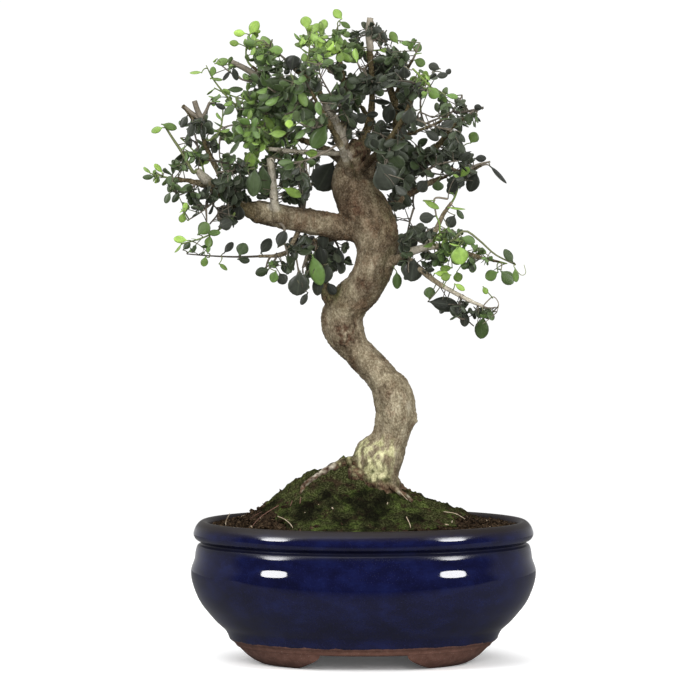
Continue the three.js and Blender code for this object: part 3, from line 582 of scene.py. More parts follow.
def glazed_clay():
    """Dark blue glaze that ends in a wavy line above the bare clay of the feet. A mark of 1 is the inside."""
    m = material("glazed_clay")
    height = m.place(2)
    thin = m.ramp(height, (THIN_GLAZE[0] * MM, 0.0), (THIN_GLAZE[1] * MM, 1.0))
    # the groove's heights, where dirt and painted shade darken the glaze
    groove = m.ramp(height, *((level * MM, grey) for level, grey in zip(GROOVE, (0.0, 1.0, 1.0, 0.0))))
    clay = m.ramp(m.noise(5, detail=5), (0.3, (0.105, 0.048, 0.034)), (0.7, (0.19, 0.094, 0.07)))
    clay = m.mix(m.ramp(m.noise(0.7, detail=1), (0.62, 0.0), (0.75, 0.5)), clay, (0.34, 0.25, 0.2))
    edge = m.math("MULTIPLY_ADD", m.noise(9), GLAZE_WAVE * MM, (GLAZE_EDGE - GLAZE_WAVE / 2) * MM)
    bare = m.math("LESS_THAN", height, edge)
    inside = m.marks()[3]
    dirt = m.ramp(m.noise(3, detail=4), (0.35, (0.01, 0.008, 0.006)), (0.7, (0.06, 0.042, 0.03)))
    colour = m.mix(inside, m.mix(bare, glaze_colour(m, height, thin, groove), clay), dirt)
    dull = m.math("MAXIMUM", thin, groove)
    rough = m.mix(dull, (0.05, 0.05, 0.05), (0.5, 0.5, 0.5))
    rough = m.mix(m.math("MAXIMUM", bare, inside), rough, (0.8, 0.8, 0.8))
    m.bump(m.math("MULTIPLY", m.noise(1.3), bare), 0.22, 0.5)
    return m.finish(colour, rough, m.mix(dull, (0.5, 0.5, 0.5), (0.16, 0.16, 0.16)))


def netting_plastic():
    return mottled("netting_plastic", 2, (0.012, 0.012, 0.012), (0.03, 0.03, 0.03), 0.55)


def dry_straw():
    return mottled("dry_straw", 2.5, (0.25, 0.18, 0.11), (0.55, 0.46, 0.34), 0.7)


def red_rootlet():
    return mottled("red_rootlet", 2, (0.06, 0.028, 0.018), (0.17, 0.085, 0.06), 0.75)


def bare_soil():
    m = material("bare_soil")
    tone = m.ramp(m.noise(2.6, detail=6, roughness=0.72), (0.34, (0.006, 0.004, 0.003)),
                  (0.5, (0.03, 0.019, 0.011)), (0.68, (0.11, 0.075, 0.045)))
    m.bump(m.noise(0.8, detail=4), 0.7)
    return m.finish(tone, 0.95, 0.05)


def living_moss():
    """Dark olive moss, greener in patches, with soil between. Mark: the painted light and shade of the place.
    """
    m = material("living_moss")
    fine = m.noise(1.1, detail=5, roughness=0.75)
    dark = m.ramp(fine, (0.36, (0.006, 0.006, 0.003)), (0.5, (0.034, 0.037, 0.014)),
                  (0.68, (0.13, 0.14, 0.06)))
    green = m.ramp(fine, (0.36, (0.014, 0.019, 0.006)), (0.5, (0.07, 0.098, 0.024)),
                   (0.68, (0.2, 0.25, 0.07)))
    brown = m.ramp(fine, (0.36, (0.006, 0.004, 0.003)), (0.68, (0.075, 0.05, 0.03)))
    colour = m.mix(m.ramp(m.noise(13, detail=4), (0.5, 0.0), (0.66, 1.0)), dark, green)
    colour = m.mix(m.ramp(m.noise(7, detail=5, roughness=0.65), (0.53, 0.0), (0.62, 0.9)), colour, brown)
    m.bump(fine, 1.0)
    # the mark paints light and shade: where it is low the moss turns near black
    return m.finish(m.mix(m.marks()[0], (0.004, 0.004, 0.003), colour), 0.95, 0.0)


def moss_tuft():
    """Marks: share of the height, how green, the place's painted light and shade; then chance."""
    m = material("moss_tuft")
    share, green, light, chance = m.marks()
    old = m.ramp(chance, (0.0, (0.018, 0.019, 0.009)), (0.55, (0.085, 0.09, 0.036)),
                 (0.8, (0.16, 0.16, 0.075)), (1.0, (0.22, 0.185, 0.11)))
    new = m.ramp(chance, (0.0, (0.04, 0.054, 0.014)), (0.6, (0.155, 0.2, 0.05)), (1.0, (0.34, 0.38, 0.15)))
    colour = m.mix(m.math("MULTIPLY", share, 0.3), m.mix(green, old, new), (0.17, 0.18, 0.08))
    # the place's painted light and shade: where it is low the tuft turns near black
    return m.finish(m.mix(light, (0.005, 0.006, 0.004), colour), 0.9, 0.0)


def bark_scales(m):
    """The height of the bark's fine scales."""
    grain = m.math("MULTIPLY", m.noise(0.8, (0.85, 0.85, 1.5), detail=5, roughness=0.65), 0.55)
    broad = m.math("MULTIPLY_ADD", m.noise(5, (1, 1, 1.6), detail=4), 0.45, grain)
    scales = m.math("MULTIPLY", m.cells(1.3, (1, 1, 1.3)), 0.16)
    return m.math("SUBTRACT", m.math("ADD", broad, 0.07), scales)


def olive_bark():
    """Marks: pale tan; green algae or moss, dark olive on the trunk's right side high up, and the crown's
    painted shade; dark knots and crumbs, and painted shade; then lichen.
    """
    m = material("olive_bark")
    pale, green, dark, lichen = m.marks()
    relief = bark_scales(m)
    brown = m.ramp(relief, (0.38, (0.055, 0.038, 0.023)), (0.5, (0.125, 0.091, 0.057)),
                   (0.62, (0.24, 0.185, 0.12)))
    tan = m.ramp(relief, (0.38, (0.165, 0.13, 0.08)), (0.5, (0.31, 0.262, 0.172)),
                 (0.62, (0.52, 0.46, 0.33)))
    weathered = m.ramp(relief, (0.34, (0.3, 0.26, 0.19)), (0.62, (0.66, 0.61, 0.5)))
    colour = m.mix(m.ramp(pale, (0.0, 0.0), (0.75, 1.0)), brown, tan)
    colour = m.mix(m.ramp(pale, (0.8, 0.0), (0.95, 1.0)), colour, weathered)
    patch = m.math("MULTIPLY", m.ramp(m.noise(7, (1, 1, 1.4), detail=4), (0.52, 0.0), (0.64, 0.45)),
                   m.ramp(pale, (0.8, 1.0), (0.95, 0.2)))
    flecks = m.ramp(m.noise(0.9, (1, 1, 0.7), detail=2), (0.62, 0.0), (0.72, 0.4))
    colour = m.mix(patch, colour, m.ramp(relief, (0.38, (0.07, 0.037, 0.02)), (0.62, (0.26, 0.16, 0.095))))
    colour = m.mix(flecks, colour, (0.48, 0.44, 0.35))
    # the green and dark ramps below also carry painted shade: the crown's, and that under leaves
    for amount, low, first, high, second in (
        (green, 0.36, (0.018, 0.022, 0.007), 0.62, (0.14, 0.15, 0.055)),
        (lichen, 0.36, (0.22, 0.21, 0.09), 0.6, (0.74, 0.71, 0.42)),
        (dark, 0.38, (0.016, 0.009, 0.006), 0.62, (0.15, 0.088, 0.054)),
    ):
        colour = m.mix(amount, colour, m.ramp(relief, (low, first), (high, second)))
    m.bump(relief, 1.3, 0.9)
    return m.finish(colour, 0.9, 0.15)


def twig_bark():
    """Marks: how pale, nothing, how young; then chance."""
    m = material("twig_bark")
    pale, _, young, chance = m.marks()
    tone = m.math("ADD", m.math("MULTIPLY", chance, 0.5), m.math("MULTIPLY", m.noise(1.5), 0.5))
    old = m.ramp(tone, (0.3, (0.06, 0.05, 0.038)), (0.7, (0.2, 0.17, 0.13)))
    old = m.mix(pale, old, m.ramp(tone, (0.3, (0.2, 0.17, 0.13)), (0.7, (0.38, 0.34, 0.27))))
    return m.finish(m.mix(young, old, (0.2, 0.3, 0.06)), 0.7)


def leaf_skin(name, old, middle, young, rim, roughness):
    """Marks: distance from the midrib, share of the length, how young; then chance."""
    m = material(name)
    side, share, age, chance = m.marks()
    shade = m.math("MULTIPLY", m.math("MULTIPLY_ADD", chance, 0.95, 0.6),
                   m.math("MULTIPLY_ADD", m.noise(2.2, detail=2), 0.8, 0.6))
    colour = m.mix(1.0, m.ramp(age, (0.0, old), (0.4, middle), (1.0, young)), m.grey(shade), "MULTIPLY")
    midrib = m.ramp(side, (0.0, 0.22), (0.1, 0.0))
    edge = m.ramp(side, (0.8, 0.0), (0.93, 0.35))
    colour = m.mix(m.math("MAXIMUM", midrib, edge), colour, rim)
    ribs = m.math("FRACT", m.math("SUBTRACT", m.math("MULTIPLY", share, 9.0), m.math("MULTIPLY", side, 2.2)))
    m.bump(m.math("SUBTRACT", m.ramp(ribs, (0.0, 0.0), (0.2, 0.3), (0.8, 0.3), (1.0, 0.0)), midrib), 0.1, 0.4)
    return m.finish(colour, roughness)


def leaf_face():
    return leaf_skin("leaf_face", (0.025, 0.028, 0.021), (0.092, 0.158, 0.04), (0.26, 0.4, 0.075),
                     (0.12, 0.14, 0.1), 0.42)


def leaf_back():
    return leaf_skin("leaf_back", (0.06, 0.065, 0.048), (0.13, 0.19, 0.07), (0.3, 0.44, 0.11),
                     (0.13, 0.15, 0.11), 0.6)


# ---------------- pot

POT_SECTION_UNDER = [(2, UNDERSIDE), (40, UNDERSIDE)]  # reach along x and height, as in the next two
POT_SECTION_OUTSIDE = [
    (70, UNDERSIDE), (73.6, UNDERSIDE), (75.2, 10), (76.2, 11.2), (77.2, 12.3), (78.5, 13.2), (79.7, 14.4),
    (80.2, 15.8), (81.2, 18), (82.6, 19.9), (84.9, 21.9), (88, 24.8), (92.1, 29.5), (95.7, 34), (98.6, 39),
    (101.1, 45.5), (102.2, 50), (102.45, 53), (102.3, 55.6), (101.95, 57), (101.25, 58.9), (100.5, 61),
    (100.15, 62.6), (99.95, 64.3), (99.75, 66), (99.35, 67.4), (98.75, 69), (98.2, 69.8), (97.2, 70.3),
    (96.6, 70.8), (96.5, 71.1), (96.7, 71.6), (97.5, 72.3), (98.9, 72.9), (100.1, 74.1), (100.9, 76),
    (100.75, 77.6), (100.15, 79.3), (99.4, 80.9), (98, 82.7), (96.6, 83.8), (95.2, 84.2), (93.3, 83.4),
    (92.2, 81), (91.9, 76), (92.4, 70), (94, 61), (94.2, 54),
]
POT_SECTION_INSIDE = [(91, 38), (80, 23), (66, FLOOR_TOP), (40, FLOOR_TOP), (2, FLOOR_TOP)]
GLAZED_DOWN_TO = 81.5  # inside the rim
POT_SEGMENTS = 168
SHARP_FROM = 60  # degrees
CUTTER_PAST = 4  # how far the cutter of a drain hole stands out of the floor
FOOT_INNER = 50.5
FOOT_OUTSIDE = [(0, 60.2), (0.3, 62), (1.1, 64.3), (2.7, 67.4), (5, 70.5), (7.9, 73.2), (10.4, 75.4),
                (11.5, 76)]  # height, reach along x
FRONT_ARCH_WIDTHS = [(0, 38.4), (0.8, 37), (2.4, 34), (4.1, 30.8), (6.3, 27.4), (8, 25.9), (11.5, 25.4)]
SIDE_ARCH_WIDTHS = [(0, 18), (2, 16.6), (4, 15.2), (6.5, 13.6), (9.4, 12.2), (11.5, 12)]  # height, half width
FOOT_EDGE = 1.6  # how far its edges are rounded
FOOT_LEVELS = [0, 0.15, 0.5, 1, 1.6, 2.6, 4, 5.5, 7, 8.4, 9.4, 10.4, 11.4]
NETTING_BARS, NETTING_BAR_WIDTH, NETTING_BAR_RADIUS = 8, 1.1, 0.374
NETTING_LIFT = 0.12  # of the bars of one direction above the netting's middle, and of the others below it


def smooth_section(section, steps=3):
    route = Route([(reach, 0, height) for reach, height in section])
    return [(point.x, point.z) for point in points_on(route, (len(section) - 1) * steps)]


def pot_bowl(clay):
    """The body, rim and floor of the pot, without its feet."""
    section = POT_SECTION_UNDER + smooth_section(POT_SECTION_OUTSIDE) + POT_SECTION_INSIDE
    heights = np.array(section)[:, 1]
    inside = (np.arange(len(section)) > heights.argmax()) & (heights < GLAZED_DOWN_TO)
    corners = oval_rings(section, POT_SEGMENTS)
    marks = np.zeros((len(corners), 4))
    marks[:, 3] = inside.repeat(POT_SEGMENTS)
    return mesh_object("pot_bowl", corners, closed_faces(len(section), POT_SEGMENTS), [clay], marks=marks)


def foot_ring(height, x_side, y_side, samples=22):
    """One level of a foot, as a loop of points. It shrinks where its lower edge is rounded."""
    rounding = FOOT_EDGE * (1 - math.sqrt(max(0.0, 1 - (1 - min(1, height / FOOT_EDGE)) ** 2)))
    half_front = looked_up(FRONT_ARCH_WIDTHS, height) + rounding
    half_side = looked_up(SIDE_ARCH_WIDTHS, height) + rounding
    loop = []
    for reach, order in ((looked_up(FOOT_OUTSIDE, height), 1), (FOOT_INNER + rounding, -1)):
        first = math.asin(min(1, half_side / (reach * DEPTH_SHARE)))
        last = math.acos(min(1, half_front / reach))
        for a in np.linspace(first, last, samples)[::order]:
            loop.append((reach * math.cos(a) * x_side, reach * math.sin(a) * DEPTH_SHARE * y_side, height))
    return loop


def pot_feet(clay):
    skin = Skin()
    for x_side in (-1, 1):
        for y_side in (-1, 1):
            rings = [foot_ring(height, x_side, y_side) for height in FOOT_LEVELS]
            faces = closed_faces(len(rings), len(rings[0]))
            skin.add(np.concatenate(rings), faces[:, ::-1] if x_side * y_side < 0 else faces)
    return skin.to_object("pot_feet", [clay])


def cut_holes(piece):
    """Cuts the two drain holes through the floor."""
    for x in (-DRAIN_X, DRAIN_X):
        corners, faces = tube([(x, 0, UNDERSIDE - CUTTER_PAST), (x, 0, FLOOR_TOP + CUTTER_PAST)],
                              DRAIN_RADIUS, 32)
        cutter = mesh_object("drain_cutter", corners, faces, [])
        cut = piece.modifiers.new("drain", "BOOLEAN")
        cut.operation = "DIFFERENCE"
        cut.solver = "EXACT"
        cut.object = cutter
        applied(piece)
        bpy.data.objects.remove(cutter)
    piece.data.polygons.foreach_set("use_smooth", np.ones(len(piece.data.polygons), bool))


def make_pot():
    clay = glazed_clay()
    bowl = pot_bowl(clay)
    cut_holes(bowl)
    parts = [bowl, pot_feet(clay)]
    for part in parts:
        part.data.set_sharp_from_angle(angle=math.radians(SHARP_FROM))
    pot = joined("glazed_oval_pot", parts)
    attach(pot, "root")
    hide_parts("pot")


def netting_bar(low, high, axis, share):
    """The ends of a bar at a share of the way across the netting."""
    inset = NETTING_BAR_WIDTH / 2
    ends = np.array([low, high])
    ends[:, axis] = low[axis] + inset + (high[axis] - low[axis] - 2 * inset) * share
    ends[:, 2] = (low[2] + high[2]) / 2 + (NETTING_LIFT if axis else -NETTING_LIFT)
    return ends


def make_netting():
    plastic = netting_plastic()
    for side in ("left", "right"):
        low, high = (np.array(corner - Vector(POT_MIDDLE)) / MM
                     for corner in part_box("drainage_mesh_" + side))
        skin = Skin()
        for i in range(NETTING_BARS):
            for axis in (0, 1):
                ends = netting_bar(low, high, axis, i / (NETTING_BARS - 1))
                skin.add(*tube(ends, NETTING_BAR_RADIUS, 8))
        netting = skin.to_object("netting_" + side, [plastic])
        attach(netting, "root")
        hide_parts("drainage_mesh_" + side)


# ---------------- wood

TRUNK_STEPS, TRUNK_SIDES = 260, 48
VOXEL = 0.85
THICK = 2.5  # branches that start thicker than this are melted into the trunk
KNOTS_AND_SHADE_SPOTS = [  # x, y, z, reach, how far it stands out, how dark: rough, scaly and sawn places on the bark, and two spots of painted shade under leaves that don't stand out
    (-11, -7, 195, 9, 0.7, 1.2),
    (-22, -2, 216, 7, 0.5, 0.8),
    (0, -10, 225, 6, 0.5, 0.9),
    (-5, -11, 270, 7, 0.8, 1),
    (0, -4, 303, 15, 0.5, 1),
    (13, -13, 161, 6, 0.5, 0.8),
    (30, -4, 145, 3.5, 1.6, 0.2),
    (14, -9, 114, 7, 0.8, 0.5),
    # painted shade on the low left limb among dark leaves
    (-25, -3, 232, 13, 0, 1.5),
    # painted shade of the leaves on the trunk's right side
    (17, -5, 256, 9, 0, 0.8),
]
WEATHERED_PLACES = [  # x, y, z, reach, how pale: above 0.8 it is weathered wood, and smoother
    (-52, -19, 275, 9, 1.6),
    (-54, -17, 292, 13, 1.6),
    (-46, -12, 305, 14, 1.6),
    (-25, -5, 304, 15, 1.6),
    (-9, -7, 301, 7, 1.3),
    (-14, -9, 312, 9, 1.6),
    (-20, -13, 325, 10, 1.6),
    (-97, -20, 290, 11, 1.4),
    (3, 14, 376, 11, 1.2),
    (60, -30, 217, 22, 1.4),
    (36, -20, 246, 13, 1.3),
    (-26, -12, 111, 19, 1.5),
    (24, -17, 100, 8, 1.2),
]
PALE_PLACES = [  # the same, but the bark keeps its relief
    (26, -6, 172, 16, 0.78),
    (25, -9, 153, 15, 0.87),
    (-12, -26, 303, 11, 1.5),
]
WEATHERED_SMOOTH = 0.65  # how much of the bark's relief weathered wood has lost
LICHEN_PLACES = [(-1, -10, 129, 8, 1.4), (6, -15, 118, 10, 1.4), (12, -14, 128, 8, 0.9),
                 (-12, -6, 120, 7, 0.8)]
MOSSY_PLACES = [(-9, -5, 121, 8, 1.2), (8, -14, 110, 9, 1), (-2, -12, 115, 7, 1), (-4, -8, 130, 7, 0.6),
                (-20, -6, 221, 8, 1)]
CRUMBS_BELOW, CRUMBS_FADE = [(-6, 123), (1, 115), (5, 111), (19, 108)], 4  # x, height
PALE_BY_HEIGHT = [(110, 0.6), (135, 0.8), (160, 0.8), (176, 0.42), (224, 0.42), (250, 0.34),
                  (276, 0.1)]  # height, how pale
PALEST_BARK = 0.75
SHADED_ABOVE, SHADED_OUTSIDE, SHADED_RISE = 292, 58, 16  # where the crown keeps the bark dark
# how much of the crown's painted shade goes into the dark and the green marks
SHADE_DARK, SHADE_GREEN = 0.4, 0.6
GREEN_BELOW, GREEN_FADE = 128, 34
OLIVE_SIDE_ABOVE = 205  # where the trunk's right side turns dark olive
ROUGH_BELOW, ROUGH_FADE = 135, 40
RIDGES = [(0.5, 3.4, 2.2, 1), (0.5, 1.6, 1.2, 2), (0.6, 11, 1.6, 5)]  # height, size, stretch along z, seed
FOOT_RIDGES = [(1.1, 5, 1.5, 3), (1.1, 2.2, 1, 4)]
CRUMBS = [(1.6, 2.6, 1, 8)]
KNOT_LUMPS = [(0.9, 1.8, 1, 6)]
THIN_RIDGES = [(1, 1.9, 1.5, 7)]
THIN_RELIEF, ROOT_RELIEF, ROOTS_BELOW = 0.2, 0.3, 125  # shares of a thin branch's radius, and of a root's
SLIMMER = 0.82  # branches of the crown, against their solids
TRUNK_TRIM = np.array([  # height, how far to the right, how much slimmer the trunk looks than its solid
    (96, -1, 1.4), (111, -1.2, 1.6), (117, -0.3, 0.7), (124, 0.6, 0.5), (127, 1.6, 1.3), (131, 2.8, 2.8),
    (136, 2, 1.9), (141, 1.3, 0.6), (146, 1.1, -0.4), (152, -0.2, -0.2), (163, -0.4, 0), (167, -1.3, 0.7),
    (173, -0.5, 0.4), (180, -0.5, 0.1), (186, 0.3, 1.2), (192, 0, 0), (206, 0, 0), (213, 0.5, -0.5),
    (229, 0.5, -0.5), (236, 0, 0),
])
OWN_RADII = {"left_cut": (3.8, 2.2), "crown_left": (3.4, 1.4), "right_up": (4.2, 1.9),
             "left_bar": (1.7, 1.4)}
OWN_LINES = {
    "foot_left": (6, 4, [(6, -5, 112), (-2, -8, 112), (-9, -9, 112.5)]),
    "foot_front": (4, 3, [(4, -10, 107), (9, -13, 106), (15, -12, 105)]),
    "left_low": (4.4, 1.2, [(-13, 3, 209), (-20, 1, 215), (-24, 1, 225), (-26, 1, 237), (-29, -1, 252)]),
    "left_main": (7.8, 7, [(3, 0, 257), (-11, -3, 258), (-27, -6, 261), (-44, -8, 264), (-58, -10, 267),
                           (-64, -10.6, 268)]),
    "left_end": (6.7, 3.4, [(-62, -10.4, 267.8), (-67, -11, 268.8), (-70, -11.5, 269.6)]),
    "left_stub": (3, 2.4, [(-50.5, -14, 262), (-52, -15.5, 270), (-53.5, -16, 284), (-55, -16, 300)]),
    "root_left": (3.4, 1.3, [(4, -2, 120), (-9, -4, 119.6), (-19, -6, 115.6), (-28, -9, 110.8),
                             (-34, -13, 106.8), (-38, -19, 101.5)]),
    "root_right": (2.2, 1, [(15, -11, 107), (20, -14, 103), (25, -16, 100), (29, -17.5, 97)]),
}
HIDDEN_ROOTS = ("root_front",)


def limbs_shown():
    """The roots and branches as they look: some are slimmer than their solids, and one root is under moss."""
    shown = {}
    for name, (first, last, points) in {**ROOTS, **BRANCHES}.items():
        if name in OWN_RADII:
            first, last = OWN_RADII[name]
        elif points[-1][2] > SHADED_ABOVE:
            first, last = first * SLIMMER, last * SLIMMER
        if name not in HIDDEN_ROOTS:
            shown[name] = (first, last, points)
    shown.update(OWN_LINES)
    return shown


def trunk_tube():
    route = Route(TRUNK)
    corners = []
    across = Vector((0, 1, 0))
    for i in range(TRUNK_STEPS + 1):
        t = i / TRUNK_STEPS
        place = route.at(t)
        shift, slimmer = (np.interp(place.z, TRUNK_TRIM[:, 0], TRUNK_TRIM[:, column]) for column in (1, 2))
        point = place.xyz + Vector((shift, 0, 0))
        along = tangent(route, t)
        across = square_to(across, along)
        flutes = [FLUTE_SHARE * math.cos(FLUTE_LOBES * a + FLUTE_TWIST * point.z) for a in turns(TRUNK_SIDES)]
        corners += ring(point, along, across, [(place.w - slimmer) * (1 + flute) for flute in flutes])
    return np.array(corners), closed_faces(TRUNK_STEPS + 1, TRUNK_SIDES)


def limb_tube(limb, sides=14, steps_per_point=7):
    first, last, points = limb
    steps = (len(points) - 1) * steps_per_point
    radii = first + (last - first) * (np.arange(steps + 1) / steps)
    return tube(points_on(Route(points), steps), radii, sides)


def near_spots(corners, spots):
    """How much of its strongest spot each corner has. A spot is x, y, z, reach and strength."""
    amount = np.zeros(len(corners))
    for *middle, reach, strength in spots:
        amount = np.maximum(amount, strength * nearness(corners, middle, reach))
    return amount


def bark_relief(corners, normals):
    """Ridges along the grain, rougher at the foot, and knots."""
    foot = np.clip((ROUGH_BELOW - corners[:, 2]) / ROUGH_FADE, 0, 1)
    out = relief_of(corners, RIDGES) + foot * relief_of(corners, FOOT_RIDGES)
    out += crumbly_at(corners) * relief_of(corners, CRUMBS)
    lumps = 1 + relief_of(corners, KNOT_LUMPS)
    for *middle, reach, height, _ in KNOTS_AND_SHADE_SPOTS:
        out += height * lumps * nearness(corners, middle, reach)
    smooth = 1 - WEATHERED_SMOOTH * np.minimum(1, near_spots(corners, WEATHERED_PLACES))
    return corners + normals * (out * smooth)[:, None]


def crumbly_at(corners):
    """Where old root bits and soil cling to the trunk's foot."""
    return np.clip((looked_up(CRUMBS_BELOW, corners[:, 0]) - corners[:, 2]) / CRUMBS_FADE, 0, 1)


def shaded_at(corners):
    """Where the crown keeps the bark dark."""
    x, y, z = corners.T
    above, outside = (z - SHADED_ABOVE) / SHADED_RISE, (np.hypot(x, y) - SHADED_OUTSIDE) / SHADED_RISE
    return np.clip(np.maximum(above, outside * (z > SOIL_LEVEL * 2)), 0, 1)


def pale_at(corners, patch, shaded):
    broad = noise_at(corners, 16, (1, 1, 1.8), 11)
    pale = np.clip(looked_up(PALE_BY_HEIGHT, corners[:, 2]) + 0.4 * broad + 0.4 * patch, 0, PALEST_BARK)
    spots = np.minimum(1, near_spots(corners, WEATHERED_PLACES + PALE_PLACES))
    return np.maximum(pale * (1 - shaded), spots)


def green_at(corners, normals, patch, shaded):
    """Algae at the foot and on mossy places, dark olive on the trunk's right side high up, and painted shade
    in the crown.
    """
    height = corners[:, 2]
    foot = np.clip((GREEN_BELOW - height) / GREEN_FADE, 0, 1) * (0.75 + 1.6 * patch) - 0.25
    mossy = near_spots(corners, MOSSY_PLACES) * (1 + 1.5 * patch)
    lit = np.clip((normals[:, 0] - 0.2) * 1.4, 0, 1) * (0.3 + 0.5 * patch) * (height > OLIVE_SIDE_ABOVE)
    # SHADE_GREEN paints the crown's shade as dark olive
    return np.maximum.reduce([np.clip(np.maximum(foot, mossy), 0, 1), lit, SHADE_GREEN * shaded])


def dark_at(corners, shaded):
    """The knots, painted shade under leaves, the crumbs at the foot, and the painted shade of the crown."""
    # the knots' spots include two of painted shade under leaves
    knots = near_spots(corners, [(*middle, reach, shade) for *middle, reach, _, shade in KNOTS_AND_SHADE_SPOTS])
    knots = np.clip(knots * (0.75 + 1.1 * noise_at(corners, 2, seed=13)), 0, 1)
    crumbs = np.clip(0.8 + 1.2 * noise_at(corners, 2.4, seed=14), 0, 1) * crumbly_at(corners)
    return np.maximum.reduce([knots, crumbs, SHADE_DARK * shaded])


def lichen_at(corners, patch):
    streak = noise_at(corners, 2.4, (1, 1, 1.8), 15)
    return np.clip(near_spots(corners, LICHEN_PLACES) * (1 + 1.8 * patch + 3 * streak) - 0.3, 0, 1)


def bark_marks(corners, normals):
    """Pale, green, dark and lichen shares for each corner of the wood."""
    patch = noise_at(corners, 5, (1, 1, 1.4), 12)
    shaded = shaded_at(corners)
    pale = pale_at(corners, patch, shaded)
    shaded = shaded * (1 - pale)
    return np.stack([pale, green_at(corners, normals, patch, shaded), dark_at(corners, shaded),
                     lichen_at(corners, patch)], axis=1)


def melted(name, tubes):
    """Closed tubes that cross each other as one smooth skin."""
    skin = Skin()
    for corners, faces in tubes:
        skin.add(corners, faces)
    piece = skin.to_object(name, [])
    remesh = piece.modifiers.new("melt", "REMESH")
    remesh.mode = "VOXEL"
    remesh.voxel_size = VOXEL * MM
    soft = piece.modifiers.new("soften", "SMOOTH")
    soft.factor = 0.5
    soft.iterations = 4
    return applied(piece)


def add_thick_wood(skin, limbs):
    """The trunk with its thick roots and branches in one skin."""
    thick = melted("thick_wood", [trunk_tube()] + [limb_tube(limb) for limb in limbs])
    corners, normals = corners_of(thick)
    faces = np.array([polygon.vertices[:] for polygon in thick.data.polygons])
    skin.add(bark_relief(corners, normals), faces, 0, bark_marks(corners, normals))
    bpy.data.objects.remove(thick)


def add_thin_limb(skin, limb, sides=10):
    """A thin root or branch, whose radius varies a little."""
    corners, faces = limb_tube(limb, sides, 6)
    share = ROOT_RELIEF if corners[:, 2].max() < ROOTS_BELOW else THIN_RELIEF
    relief = share * relief_of(corners, THIN_RIDGES)
    middle = corners.reshape(-1, sides, 3).mean(axis=1).repeat(sides, axis=0)
    marks = bark_marks(corners, np.zeros_like(corners))
    skin.add(corners + (corners - middle) * relief[:, None], faces, 0, marks)


def make_wood():
    bark = olive_bark()
    limbs = limbs_shown().values()
    skin = Skin()
    add_thick_wood(skin, [limb for limb in limbs if limb[0] >= THICK])
    for limb in limbs:
        if limb[0] < THICK:
            add_thin_limb(skin, limb)
    wood = skin.to_object("bonsai_wood", [bark])
    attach(wood, "root")
    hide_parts("tree_wood")


# ---------------- ground

SOIL_UNDER = [(91.2, 77), (91.6, 70), (93.3, 54), (90, 38.3), (79.2, 23.3), (65, FLOOR_TOP + 0.5),
              (1, FLOOR_TOP + 0.5)]  # reach along x, height
SOIL_SEGMENTS = 200
SOIL_SHARES = np.linspace(0.01, 1, 72)  # of the way to the pot's wall
SOIL_LUMPS = [(1.3, 4.5, 1, 21), (0.9, 1.9, 1, 22)]  # height, size, stretch, seed
SOIL_SETTLED = 0.4
GRAINS, GRAIN_SIZE, GRAIN_FLATNESS = 2600, (0.35, 1.1), 0.7
MOSS_DEEP = 2.6
MOSS_COLLAR = (14.5, 2, 2, 19.5, 11)  # height, x, y, reach to the left and along y, at the trunk's foot
MOSS_SEGMENTS = 240
MOSS_SHARES = np.linspace(0.012, 1, 96)  # of the way to its edge
MOSS_LUMPS = [(2.6, 11, 1, 31), (2.2, 4.6, 1, 32), (1.3, 2, 1, 33)]
MOSS_ABOVE, MOSS_BELOW = 0.3, 1.5  # of its edge over the ground's surface, and of its underside under it
# noise in the moss's painted light and shade
MOSS_PAINTED_LIGHT = [(0.6, 12, 1, 36), (0.5, 5, 1, 37)]
GREEN_PLACES = [(-12, -34, 22, 1.0), (50, -26, 22, 1.0), (26, -30, 14, 0.6), (-26, -2, 17, 1.0),
                (-50, 10, 16, 0.5), (20, 34, 20, 0.8)]  # x, y, reach, how green
PAINTED_SHADE_PLACES = [(8, -28, 11, 0.5), (-36, -32, 11, 0.6), (34, -34, 8, 0.3), (-8, -48, 10, 0.2),
               (-20, -26, 7, 0.3), (-24, -1, 16, -0.9), (-42, -6, 11, -0.7), (52, -28, 20, -0.7),
               (34, -10, 12, -0.5), (-2, 4, 14, -0.3)]  # x, y, reach, how much painted shade; painted light where it is below 0
TUFTS, TUFT_SUNK = 16000, 0.4
STRAWS = [  # dry straws: radius, and the points of each
    (0.28, [(-80.3, -12, 79), (-81.5, -14, 84), (-79, -16, 90)]),
    (0.28, [(-50.5, -38, 90), (-46, -43, 88.5), (-42, -47, 85), (-41, -50, 81)]),
    (0.28, [(25, -47, 90.5), (27, -50, 86.5), (27.5, -52, 84.5)]),
    (0.28, [(20, -14, 104), (23, -18, 101), (26, -21, 98)]),
    (0.3, [(46, -18, 91), (54, -20, 90), (60, -18, 86.5)]),
    (0.3, [(60, 10, 86), (50, 22, 90), (42, 28, 90)]),
    (0.3, [(-40, 30, 95), (-52, 28, 91), (-60, 20, 87)]),
]
ROOTLETS = [
    (0.3, [(-69, -14, 84), (-65, -17, 88), (-60, -20, 91)]),
    (0.35, [(-37, -24, 100), (-37.5, -27, 94), (-36, -31, 88), (-37, -35, 83)]),
    (0.28, [(-42, -24, 98), (-44, -28, 92), (-43, -33, 86)]),
    (0.28, [(-34, -22, 100), (-33, -27, 94), (-35, -31, 89)]),
    (0.35, [(-50, -22, 95), (-60, -26, 89), (-66, -30, 83)]),
]
FLECKS = [(-26, 96), (-24, 94), (-18, 94), (-12, 106), (22, 96), (14, 96), (40, 90), (-34, 92),
          (52, 86)]  # x, z


def mound_at(x, y):
    height = np.zeros_like(x)
    for top, middle, along_x, along_y in MOUNDS:
        height += top * np.exp(-(((x - middle) / along_x) ** 2) - (y / along_y) ** 2)
    return height


